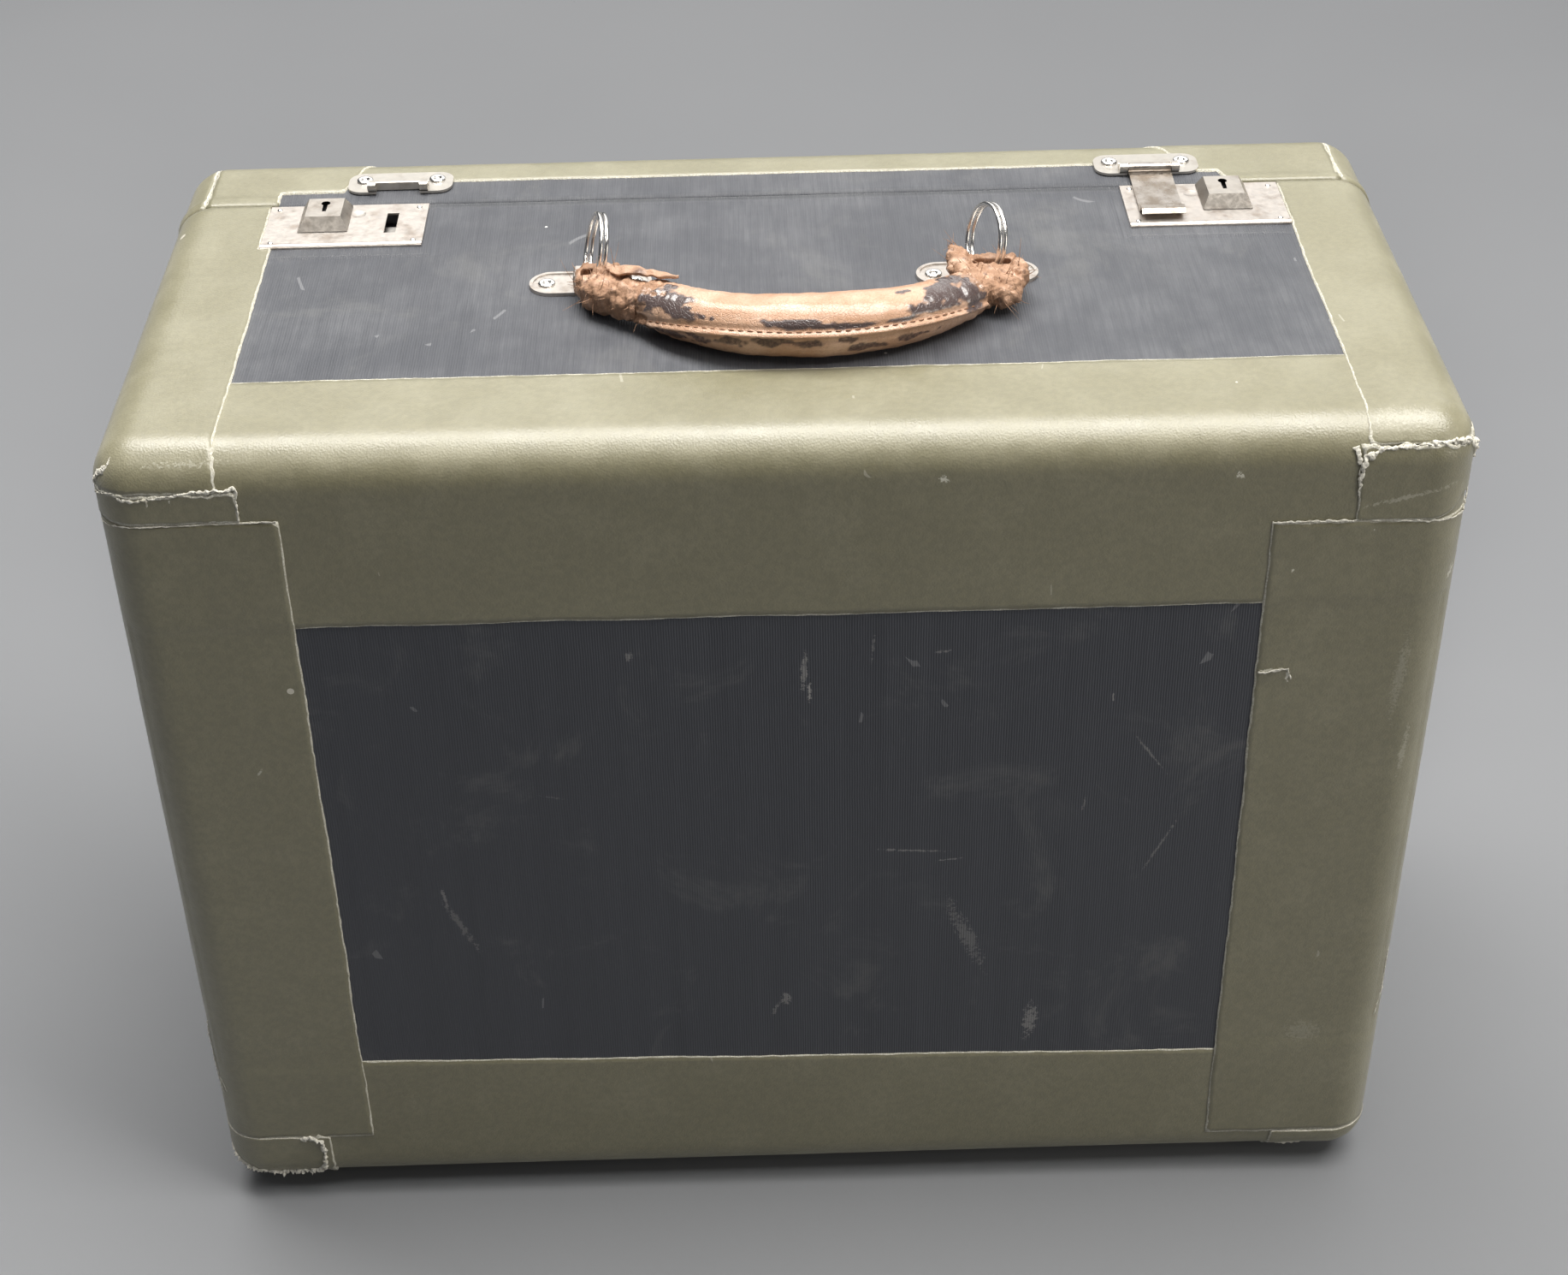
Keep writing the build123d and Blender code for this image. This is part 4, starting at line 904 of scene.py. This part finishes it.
# Locks
# Nickel-plated plates with a rolled front edge, held by small round nails. A slide button with a keyhole
# draws the bolt, which shows in the staple slot. Dust and tarnish have dulled the flat of the plates.
plate_nickel = metal("plate_nickel", (0.62, 0.575, 0.53, 1), (0.42, 0.36, 0.31, 1), 0.34, 0.50, 0.3)
bright_nickel = metal("bright_nickel", (0.86, 0.84, 0.81, 1), (0.62, 0.57, 0.52, 1), 0.16, 0.28, 0.15)
dark_steel = metal("dark_steel", (0.20, 0.20, 0.21, 1), (0.16, 0.12, 0.09, 1), 0.35, 0.5, 0.3)
bolt_steel = metal("bolt_steel", (0.45, 0.43, 0.40, 1), (0.3, 0.24, 0.18, 1), 0.3, 0.45, 0.3)
for side, x in (("left", -177.4), ("right", 177.4)):
    made, tree, shader, place = start_material(f"{side}_button_nickel", metallic=1.0)
    worn = use(tree, nickel_wear, {"Place": place, "Tarnish": 0.3})
    color = tint(tree, worn["Stain"], (0.56, 0.52, 0.47, 1), (0.38, 0.33, 0.28, 1))
    # The keyhole's walls and floor, and a thin rim round it on the top, are painted near black as painted
    # shade.
    axes = split(tree, place)
    across = calc(tree, "ABSOLUTE", calc(tree, "SUBTRACT", axes[0], x * mm))
    along = calc(tree, "SUBTRACT", axes[1], 63.25 * mm)
    from_middle = calc(tree, "SQRT", plus(tree, times(tree, across, across), times(tree, along, along)))
    round_part = calc(tree, "LESS_THAN", from_middle, 1.8 * mm)
    ahead = times(tree, calc(tree, "LESS_THAN", along, 0.0), calc(tree, "GREATER_THAN", along, -5.45 * mm))
    slot_part = times(tree, ahead, calc(tree, "LESS_THAN", across, 0.9 * mm))
    keyhole = calc(tree, "MAXIMUM", round_part, slot_part)
    # Painted shade: the button's slopes that face forward are painted darker, and are also made rougher.
    shaded_front_slope = ramp(tree, split(tree, turn_of(tree))[1], -0.15, -0.5, 0.0, 0.8)
    color = tint(tree, shaded_front_slope, color, (0.10, 0.09, 0.08, 1))
    color = tint(tree, keyhole, color, (0.006, 0.006, 0.006, 1))
    rough = plus(tree, ramp(tree, worn["Polish"], 0.3, 0.7, 0.32, 0.48), times(tree, shaded_front_slope, 0.35))
    finish_material(tree, shader, color, rough, worn["Pits"], 0.00002)
    wear_finish(f"{side}_button", made)
    wear_finish(f"{side}_lock_plate", plate_nickel)
    wear_finish(f"{side}_lock_case", dark_steel)
    wear_finish(f"{side}_bolt", bolt_steel)
    # The bow spring is copied from its CAD node, merged at its seams and carried on the case body.
    strip = bmesh.new()
    strip.from_mesh(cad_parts[f"{side}_bolt_spring"].data)
    bmesh.ops.remove_doubles(strip, verts=strip.verts, dist=1e-6)
    spring_mesh = bpy.data.meshes.new(f"{side}_bow_spring")
    strip.to_mesh(spring_mesh)
    strip.free()
    spring_mesh.materials.clear()
    spring_mesh.materials.append(dark_steel)
    spring = carried(f"{side}_bow_spring", spring_mesh, "case_body", [f"{side}_bolt_spring"])
    low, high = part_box(f"{side}_bolt_spring")
    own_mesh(spring)


def geometry_tree(name, sizes):
    """Start a geometry tree with named sizes and return it with its group input and output."""
    group = bpy.data.node_groups.new(name, "GeometryNodeTree")
    group.interface.new_socket("Geometry", in_out="INPUT", socket_type="NodeSocketGeometry")
    for label, value in sizes.items():
        group.interface.new_socket(label, in_out="INPUT", socket_type="NodeSocketFloat").default_value = value
    group.interface.new_socket("Geometry", in_out="OUTPUT", socket_type="NodeSocketGeometry")
    return group, group.nodes.new("NodeGroupInput").outputs, group.nodes.new("NodeGroupOutput").inputs


def set_out(group, spots, shape, material, result):
    """Place a shape on each spot, turned along the heading stored with it, and finish the tree."""
    heading = add(group, "GeometryNodeInputNamedAttribute", {"Name": "heading"}, data_type="FLOAT_VECTOR")
    turned_way = add(group, "FunctionNodeAlignRotationToVector", {"Vector": heading.outputs[0]}, axis="Z")
    rows = add(group, "GeometryNodeInstanceOnPoints",
               {"Points": spots, "Instance": shape, "Rotation": turned_way.outputs[0]})
    real = add(group, "GeometryNodeRealizeInstances", {0: rows.outputs[0]})
    painted = add(group, "GeometryNodeSetMaterial", {"Geometry": real.outputs[0], "Material": material})
    group.links.new(painted.outputs[0], result["Geometry"])


def plain_mesh(holder):
    """What an object's modifiers make of it. The object itself is removed."""
    bpy.context.view_layer.update()
    made = bpy.data.meshes.new_from_object(holder.evaluated_get(bpy.context.evaluated_depsgraph_get()))
    bpy.data.objects.remove(holder)
    return made


def grow(name, group, sizes, spots, headings, body, nodes):
    """Run a geometry tree on spots in millimetres and keep the result as a plain mesh."""
    carrier_mesh = bpy.data.meshes.new(name + "_spots")
    carrier_mesh.from_pydata([tuple(value * mm for value in spot) for spot in spots], [], [])
    flat = [value for heading in headings for value in heading]
    carrier_mesh.attributes.new("heading", "FLOAT_VECTOR", "POINT").data.foreach_set("vector", flat)
    carrier = put_in_scene(name + "_spots", carrier_mesh)
    maker = carrier.modifiers.new("maker", "NODES")
    maker.node_group = group
    for item in group.interface.items_tree:
        if item.in_out == "INPUT" and item.name in sizes:
            maker[item.identifier] = sizes[item.name]
    mesh = plain_mesh(carrier)
    mesh.name = name
    mesh.polygons.foreach_set("use_smooth", [True] * len(mesh.polygons))
    carried(name, mesh, body, nodes)


def ball_tree(name, sizes, segments, rings, material):
    """A tree that sets a ball on each spot, with its half width and its half length as named sizes."""
    group, given, result = geometry_tree(name, sizes)
    wide, tall = (given[label] for label in sizes)
    ball = add(group, "GeometryNodeMeshUVSphere", {"Segments": segments, "Rings": rings, "Radius": 1.0})
    size = add(group, "ShaderNodeCombineXYZ", {0: wide, 1: wide, 2: tall})
    shape = add(group, "GeometryNodeTransform", {"Geometry": ball.outputs["Mesh"], "Scale": size.outputs[0]})
    set_out(group, given["Geometry"], shape.outputs[0], material, result)
    return group


nail_tree = ball_tree("nail_heads", {"Head Radius": 0.001, "Head Height": 0.0005}, 16, 12, bright_nickel)

plate_top = 368.8
nail_rows = (lock_front + 4.2, lock_back - 3.2)
lock_nails = [(sign * lock_x + end * (lock_width / 2 - 3.6), y, plate_top)
              for sign in (-1, 1) for end in (-1, 1) for y in nail_rows]
hinge_x, hinge_y, hinge_z, leaf_half, nail_step = 130, 70.5, 7.0, 11, 17
body_hinge_nails, lid_hinge_nails = (
    [(sign * hinge_x + k * nail_step, y, hinge_z) for sign in (-1, 1) for k in (-1, 0, 1)]
    for y in (hinge_y - leaf_half, hinge_y + leaf_half))
up, under = (0, 0, 1), (0, 0, -1)
grow("body_nail_heads", nail_tree, {"Head Radius": 0.0011, "Head Height": 0.0006},
     lock_nails + body_hinge_nails, [up] * len(lock_nails) + [under] * 6,
     "case_body", ["body_nails"])
grow("lid_nail_heads", nail_tree, {"Head Radius": 0.0011, "Head Height": 0.0005},
     lid_hinge_nails, [under] * 6, "lid", ["lid_nails"])


# Hasp brackets and the right hasp
# Bright nickel brackets, riveted to the rim of the lid. The right one holds a hasp of duller, darker metal
# on a pin. The left hasp is missing.
bracket_nickel = metal("bracket_nickel", (0.62, 0.585, 0.53, 1), (0.45, 0.40, 0.34, 1), 0.30, 0.44, 0.25)
hasp_steel = metal("hasp_steel", (0.50, 0.46, 0.42, 1), (0.30, 0.25, 0.20, 1), 0.26, 0.42, 0.4)
for node in ("left_hasp_bracket", "right_hasp_bracket"):
    wear_finish(node, bracket_nickel)
wear_finish("right_hasp", hasp_steel)
wear_finish("right_hasp_pin", bright_nickel)

rivet_tree, given, result = geometry_tree(
    "eyelet_rivets", {"Ring Radius": 0.0022, "Roll Radius": 0.0011, "Roll Height": 0.6})
ring, profile = (
    add(rivet_tree, "GeometryNodeCurvePrimitiveCircle", {"Resolution": count, "Radius": given[label]})
    for count, label in ((28, "Ring Radius"), (12, "Roll Radius")))
roll = add(rivet_tree, "GeometryNodeCurveToMesh",
           {"Curve": ring.outputs[0], "Profile Curve": profile.outputs[0]})
squash = add(rivet_tree, "ShaderNodeCombineXYZ", {0: 1.0, 1: 1.0, 2: given["Roll Height"]})
flat_roll = add(rivet_tree, "GeometryNodeTransform",
                {"Geometry": roll.outputs[0], "Scale": squash.outputs[0]})
disc = add(rivet_tree, "GeometryNodeMeshCircle", {"Vertices": 28, "Radius": given["Ring Radius"]},
           fill_type="NGON")
head = add(rivet_tree, "GeometryNodeJoinGeometry")
for part in (flat_roll, disc):
    rivet_tree.links.new(part.outputs[0], head.inputs[0])
set_out(rivet_tree, given["Geometry"], head.outputs[0], bright_nickel, result)

bracket_x, bracket_rivet_x, handle_rivet_x, rivet_lift = 150.6, 14.6, 16.5, 0.25
bracket_top, handle_plate_top = 369.5, 369.0
bracket_spots = [(x + end * bracket_rivet_x, 90.0, bracket_top + rivet_lift)
                 for x in (-bracket_x, bracket_x) for end in (-1, 1)]
handle_spots = [(x + end * handle_rivet_x, -1.0, handle_plate_top + rivet_lift)
                for x in (-70.6, 74.8) for end in (-1, 1)]
grow("bracket_rivet_heads", rivet_tree, {}, bracket_spots, [up] * 4, "lid", ["bracket_rivets"])
grow("handle_rivet_heads", rivet_tree, {}, handle_spots, [up] * 4, "case_body", ["handle_rivets"])


# Handle plates and split rings
# Nickel plates with round ends and a raised rim, riveted through the top board. Each bridge holds a split
# ring wound from one bright wire.
for side in ("left", "right"):
    wear_finish(f"{side}_handle_plate", plate_nickel)

swing_height = 383.169
ring_size, wire_size, ring_turns, ring_pitch = 12.9, 0.82, 1.8, 2.1
stations, around_wire = 151, 14
share, turn = np.meshgrid(np.linspace(0, 1, stations), np.arange(around_wire) / around_wire, indexing="ij")
angle, turn_angle = 2 * math.pi * ring_turns * share, 2 * math.pi * turn
reach = ring_size + wire_size * np.cos(turn_angle)
rise = ring_pitch * ring_turns * (share - 0.5) + wire_size * np.sin(turn_angle)
coil = np.stack((reach * np.cos(angle), reach * np.sin(angle), rise), -1).reshape(-1, 3)
for side, x, yaw in (("left", -67.698, 8.0), ("right", 77.702, 17.0)):
    stance = Matrix.Rotation(math.radians(yaw), 3, "Z") @ Matrix.Rotation(math.radians(103), 3, "Y")
    ring_piece = new_piece(f"{side}_split_ring", coil @ np.array(stance).T + (x, -1.0, swing_height),
                           tube_faces(0, stations, around_wire), bright_nickel, f"{side}_ring",
                           nodes=[f"{side}_ring"])
    sorter = bmesh.new()
    sorter.from_mesh(ring_piece.data)
    bmesh.ops.recalc_face_normals(sorter, faces=sorter.faces)
    sorter.to_mesh(ring_piece.data)
    sorter.free()


# Leather handle
# A padded grip of tan leather, sewn along a raised seam on its outer side and worn smooth. Its dark glossy
# finish is left only in patches, and the leather is torn to pale suede where it goes round the rings.
grip_origin = np.array((10.558, -10.6287, 375.0899))
grip_tilt = math.radians(5.6531)
grip_across = np.array((1.0, 0.0, 0.0))
grip_up = np.array((0.0, math.sin(grip_tilt), math.cos(grip_tilt)))
grip_back = np.cross(grip_up, grip_across)
arc_radius, grip_reach = 80.4, 46.8
half_turn = math.radians(45)


def grip_frame(share):
    """Middle of the grip at a share of its half length, with its outward and upward directions."""
    angle = share * half_turn
    x, y = arc_radius * np.sin(angle), arc_radius * (1 - np.cos(angle)) - grip_reach
    middle = grip_origin + x[..., None] * grip_across + y[..., None] * grip_back
    outward = np.sin(angle)[..., None] * grip_across - np.cos(angle)[..., None] * grip_back
    return middle, outward, np.broadcast_to(grip_up, outward.shape)


def seam_angle(share):
    """Height of the seam on the grip, in degrees round it."""
    return 4.5 - np.where(share < 0, 34, 13) * np.abs(share) ** 3


def grip_size(share):
    """Half width and half height of the grip."""
    full = np.cos(np.clip(share, -1, 1) * math.pi / 2)
    return 9.4 + 2.8 * full, 8.4 + 3.0 * full


def on_grip(share, degrees, lift=0.0):
    """Place on the grip's skin."""
    share, degrees = np.asarray(share, float), np.asarray(degrees, float)
    middle, outward, upward = grip_frame(share)
    wide, tall = grip_size(share)
    angle = np.radians(degrees)
    return (middle + outward * ((wide + lift) * np.cos(angle))[..., None]
            + upward * ((tall + lift) * np.sin(angle))[..., None])


def blob(share, degrees, marks, seed, ragged=0.35):
    """How far places on the grip are inside any of some ragged marks: 1 well inside and 0 outside."""
    flat = np.stack((share * 40, np.radians(degrees) * 11, np.zeros_like(share)), -1).reshape(-1, 3)
    rough = (ragged * (ripple(flat, 5.0, seed) + 0.6 * ripple(flat, 2.0, seed + 1))).reshape(share.shape)
    best = np.zeros_like(share)
    for middle_share, middle_degrees, half_length, half_turn_degrees in marks:
        away = np.hypot((share - middle_share) / half_length, (degrees - middle_degrees) / half_turn_degrees)
        best = np.maximum(best, np.clip((1.1 - away + rough) / 0.26, 0, 1))
    return best


rows, columns = 300, 120
share = np.repeat(np.linspace(-1.02, 1.02, rows)[:, None], columns, 1)
degrees = np.repeat(np.linspace(-180, 180, columns, endpoint=False)[None], rows, 0)
from_seam = degrees - seam_angle(share)
dark_marks = [(-0.92, 40, 0.12, 30), (-0.78, 50, 0.14, 26), (-0.70, 28, 0.12, 14), (-0.56, 26, 0.022, 5),
              (-0.51, 26, 0.013, 3.5), (-0.66, 40, 0.04, 8), (-0.1, 25, 0.14, 11), (0.09, 20, 0.12, 7),
              (0.26, 18, 0.12, 5), (0.47, 18, 0.12, 4), (0.62, 30, 0.12, 13), (0.76, 50, 0.17, 30),
              (0.95, 42, 0.13, 44), (0.88, 84, 0.12, 24), (-0.84, 88, 0.05, 10), (0.52, 78, 0.05, 5)]
stain_marks = [(-0.58, -17, 0.05, 9), (-0.42, -16, 0.06, 6), (-0.22, -10, 0.14, 8), (-0.03, -12, 0.07, 6),
               (0.17, -8, 0.05, 6), (0.3, -30, 0.1, 9), (0.55, -22, 0.1, 6), (-0.75, -30, 0.1, 10)]
suede_marks = [(-1.0, -20, 0.08, 60), (-1.02, 80, 0.1, 60), (1.02, 90, 0.05, 70), (-0.86, 66, 0.03, 8)]
dark = blob(share, degrees, dark_marks, 11, 0.24)
stain = blob(share, degrees, stain_marks, 12, 0.5)
suede = blob(share, degrees, suede_marks, 13, 0.5)
spots = np.stack((share * 63, np.radians(degrees) * 11, np.zeros_like(share)), -1).reshape(-1, 3)
shape = share.shape
lumps = 0.32 * ripple(spots, 24, 21).reshape(shape) + 0.12 * ripple(spots, 8, 22).reshape(shape)
ridge = 1.5 * np.exp(-(from_seam / 4.2) ** 2) - 0.35 * np.exp(-((np.abs(from_seam) - 12) / 4.5) ** 2)
creased = np.clip((np.abs(share) - 0.55) / 0.4, 0, 1)
folds = 0.28 * creased * ripple(spots * (1.0, 0.25, 1.0), 3.2, 23).reshape(shape)
torn = suede * (0.35 * ripple(spots, 1.6, 24).reshape(shape) - 0.3)
chip = -0.12 * (1 - dark) - 0.05 * stain
top_flat = -0.5 * np.exp(-((degrees - 90) / 25) ** 2) * np.exp(-((share + 0.1) / 0.5) ** 2)
skin_points = on_grip(share, degrees, lumps + ridge + folds + torn + chip + top_flat)
points = skin_points.reshape(-1, 3)
index = np.arange(rows * columns).reshape(rows, columns)
following = np.roll(index, -1, axis=1)
faces = np.stack((index[:-1], index[1:], following[1:], following[:-1]), -1).reshape(-1, 4).tolist()
for row, order in ((0, 1), (rows - 1, -1)):
    middle = skin_points[row].mean(0)
    outward_end = middle - skin_points[row + order].mean(0)
    outward_end /= np.linalg.norm(outward_end)
    previous = index[row]
    for shrink, bulge_out in ((0.82, 1.2), (0.5, 2.2), (0.2, 2.6)):
        start = len(points)
        smaller = middle + (skin_points[row] - middle) * shrink + outward_end * bulge_out
        points = np.concatenate((points, smaller))
        ring_index = np.arange(start, start + columns)
        quads = np.stack((previous, np.roll(previous, -1), np.roll(ring_index, -1), ring_index), -1)
        faces += (quads if order > 0 else quads[:, ::-1]).tolist()
        previous = ring_index
    faces.append(list(previous)[::1 if order > 0 else -1])
extra = len(points) - rows * columns
pad = lambda values, fill: np.concatenate((values.reshape(-1), np.full(extra, fill)))

leather, tree, shader, place = start_material("worn_tan_leather", specular=0.5)
shader.inputs["Coat Roughness"].default_value = 0.16
finish_left = stored(tree, "finish_left")
stain_and_shade = stored(tree, "stain_and_shade")
torn_open = stored(tree, "torn_open")
large = noise(tree, place, 55.0, 4.0, 0.6)
small = noise(tree, place, 650.0, 4.0, 0.65)
tan = tint(tree, ramp(tree, large, 0.35, 0.65), (0.47, 0.27, 0.165, 1), (0.60, 0.39, 0.275, 1))
tan = tint(tree, ramp(tree, small, 0.5, 0.75, 0.0, 0.35), tan, (0.27, 0.13, 0.065, 1))
# Dark stains, and on the curled flap the painted shade of the hole beneath it.
tan = tint(tree, times(tree, stain_and_shade, ramp(tree, small, 0.3, 0.6, 0.6, 0.95)), tan, (0.062, 0.028, 0.022, 1))
finish_dark = tint(tree, large, (0.060, 0.042, 0.038, 1), (0.125, 0.092, 0.088, 1))
tan = tint(tree, finish_left, tan, finish_dark)
nap = noise(tree, place, 1500.0, 3.0, 0.7)
suede_color = tint(tree, nap, (0.20, 0.095, 0.052, 1), (0.46, 0.285, 0.180, 1))
tan = tint(tree, torn_open, tan, suede_color)
crackle = add(tree, "ShaderNodeTexVoronoi", {"Vector": place, "Scale": 700.0}, feature="DISTANCE_TO_EDGE")
pores = ramp(tree, crackle.outputs[0], 0.0, 0.12)
height = plus(tree, times(tree, pores, 0.5), times(tree, nap, plus(tree, torn_open, 0.35)))
rough = plus(tree, ramp(tree, small, 0.3, 0.7, 0.34, 0.46), times(tree, torn_open, 0.4), clamp=True)
rough = calc(tree, "SUBTRACT", rough, times(tree, finish_left, 0.2), clamp=True)
smooth_skin = times(tree, calc(tree, "SUBTRACT", 1.0, torn_open, clamp=True), 0.45)
tree.links.new(calc(tree, "MAXIMUM", finish_left, smooth_skin), shader.inputs["Coat Weight"])
finish_material(tree, shader, tan, rough, height, 0.00018)


def leather_piece(name, points, faces, finish, stains_and_shade, torn, nodes=()):
    """A piece of the handle's leather, with how much finish, stain and torn fibre its points have.
    On the flap the stain value is painted shade.
    """
    marks = {label: np.broadcast_to(values, len(points)) for label, values in
             (("finish_left", finish), ("stain_and_shade", stains_and_shade), ("torn_open", torn))}
    return new_piece(name, points, faces, leather, "handle", marks, nodes)


grip = leather_piece("leather_grip", points, faces, pad(dark, 0), pad(stain, 0), pad(suede, 1),
                     ["grip_cover", "grip_core", "grip_seam"])

thread_material, tree, shader, place = start_material("waxed_thread", specular=0.4)
twist = noise(tree, place, 1800.0, 2.0)
finish_material(tree, shader, tint(tree, twist, (0.16, 0.075, 0.04, 1), (0.30, 0.16, 0.09, 1)),
                ramp(tree, twist, 0.3, 0.7, 0.5, 0.7), twist, 0.0001)
stitch_tree = ball_tree("seam_stitches", {"Thread Radius": 0.0003, "Half Length": 0.0011}, 8, 6,
                        thread_material)
places = np.linspace(-0.88, 0.9, 38)
line = on_grip(places, seam_angle(places) + 7.5, 0.0)
ahead = on_grip(places + 0.01, seam_angle(places + 0.01) + 7.5, 0.0) - line
grow("grip_stitches", stitch_tree, {"Thread Radius": 0.00032}, line.tolist(), ahead.tolist(),
     "handle", [])


# Torn leather ends
# At each end the leather of the grip is drawn round the ring and back. It is worn through, its fibres
# stand up as suede, and a dried flap has curled off the left end.
lump_sets = {"left": [((-64.5, -25, 377.5), (4.6, 8.0, 5.8)), ((-59, -20, 378.5), (5.5, 7.5, 5.5)),
                      ((-57, -30, 377.5), (6, 7.5, 7.2)), ((-66.0, -14, 379.5), (3.0, 4.5, 3.4))],
             "right": [((66.5, -6.5, 379.0), (4.2, 6.5, 3.8)), ((67, -17, 379.0), (5.2, 8.5, 4.6)),
                       ((88.5, -18, 377.5), (3.8, 8.5, 5.0)), ((82, -29, 376.5), (7.0, 7.5, 6.2)),
                       ((70, -29, 378), (7, 7.5, 6.6)), ((77, -21, 378.0), (7.5, 6.5, 4.6))]}
for side, lump_list in lump_sets.items():
    gatherer = bmesh.new()
    gatherer.from_mesh(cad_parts[f"{side}_end_loop"].data)
    bmesh.ops.remove_doubles(gatherer, verts=gatherer.verts, dist=1e-5)
    for middle, sizes in lump_list:
        stretch = Matrix.Diagonal((*[value * mm for value in sizes], 1))
        bmesh.ops.create_icosphere(gatherer, subdivisions=3, radius=1.0,
                                   matrix=Matrix.Translation(Vector(middle) * mm) @ stretch)
    mesh = bpy.data.meshes.new(f"{side}_torn_end")
    gatherer.to_mesh(mesh)
    gatherer.free()
    mesh.materials.clear()
    rough_piece = put_in_scene(f"{side}_torn_end_form", mesh)
    joiner = rough_piece.modifiers.new("join", "REMESH")
    joiner.mode, joiner.voxel_size, joiner.use_smooth_shade = "VOXEL", 0.00055, True
    softener = rough_piece.modifiers.new("soften", "SMOOTH")
    softener.iterations = 6
    joined = plain_mesh(rough_piece)
    co = np.array([vertex.co for vertex in joined.vertices]) / mm
    normals = np.array([vertex.normal for vertex in joined.vertices])
    from_ring = np.hypot(co[:, 1] + 1.0, co[:, 2] - swing_height)
    clear = np.clip((np.abs(from_ring - 12.57) - 2.2) / 1.5, 0, 1)
    lift = 0.55 * ripple(co, 5.0, 31) + 0.2 * ripple(co * (0.8, 1.0, 0.7), 1.5, 32) - 0.2
    co += normals * (lift * clear)[:, None]
    faces = [list(polygon.vertices) for polygon in joined.polygons]
    bpy.data.meshes.remove(joined)
    open_fibre = np.clip(0.75 + 0.6 * ripple(co, 7, 33), 0, 1)
    dark_bits = np.clip(ripple(co, 5, 34) - 0.55, 0, 1) * 2
    leather_piece(f"{side}_torn_end", co, faces, 0, np.clip(dark_bits, 0, 1), open_fibre,
                  [f"{side}_end_loop"])

    chance = np.random.default_rng(sum(map(ord, side)))
    outer = np.flatnonzero((clear > 0.9) & (normals[:, 2] > -0.5))
    fibre_points, fibre_faces = [], []
    for root in chance.choice(outer, 110, replace=False):
        way = normals[root] + chance.normal(size=3) * 0.7
        bend = chance.normal(size=3) * 0.9
        length, thickness = chance.uniform(1.2, 3.6), chance.uniform(0.10, 0.22)
        fibre_faces += tube_faces(len(fibre_points), 6, 4)
        for k in range(6):
            share_out = k / 5
            middle = co[root] + (way + bend * share_out) * (length * share_out - 0.4)
            for j in range(4):
                angle = math.pi / 2 * j
                side_step = np.array((math.cos(angle), math.sin(angle) * 0.7, math.sin(angle) * 0.7))
                fibre_points.append(middle + side_step * thickness * (1.05 - 0.8 * share_out))
    leather_piece(f"{side}_torn_fibres", fibre_points, fibre_faces, 0, 0, 1)

flap_rows = [[(-64, -13, 380.0), (-63, -18, 383.6), (-61, -24, 383.6)],
             [(-57, -15.5, 383.6), (-56, -20.5, 386.2), (-54.5, -26.5, 385.6)],
             [(-50, -21, 385.0), (-49, -25, 387.2), (-48, -30, 386.8)],
             [(-43, -27, 385), (-42.5, -30, 387.2), (-42, -34, 387.6)],
             [(-36.5, -31.5, 386.5), (-36.2, -33.5, 388.2), (-36, -36, 389.0)]]
flap_points = [tuple(value * mm for value in point) for row in flap_rows for point in row]
flap_faces = [(3 * r + c, 3 * r + c + 1, 3 * r + c + 4, 3 * r + c + 3) for r in range(4) for c in range(2)]
flap_mesh = bpy.data.meshes.new("flap_form")
flap_mesh.from_pydata(flap_points, [], flap_faces)
flap_form = put_in_scene("flap_form", flap_mesh)
finer = flap_form.modifiers.new("finer", "SUBSURF")
finer.levels = finer.render_levels = 4
thicker = flap_form.modifiers.new("thicker", "SOLIDIFY")
thicker.thickness, thicker.offset = 1.1 * mm, 0.0
flap_made = plain_mesh(flap_form)
co = np.array([vertex.co for vertex in flap_made.vertices]) / mm
co += 0.35 * np.stack([ripple(co, 5, 41 + k) for k in range(3)], -1)
faces = [list(polygon.vertices) for polygon in flap_made.polygons]
# Painted shade: a dark spot on the flap stands for the hole beneath it.
painted_hole_shade = np.clip(1.6 - np.hypot(co[:, 0] + 51.5, (co[:, 1] + 29) * 0.7) / 2.4, 0, 1)
leather_piece("curled_leather_flap", co, faces, 0, painted_hole_shade, 0.25)


# Hinges
# Two steel butt hinges under the case, nailed to the bottom boards, their barrels under the seam.
hinge_steel = metal("hinge_steel", (0.62, 0.60, 0.57, 1), (0.38, 0.30, 0.22, 1), 0.28, 0.44, 0.35)
for side in ("left", "right"):
    for owner in ("body", "lid"):
        wear_finish(f"{side}_hinge_{owner}_leaf", hinge_steel)
wear_finish("hinge_pins", hinge_steel)
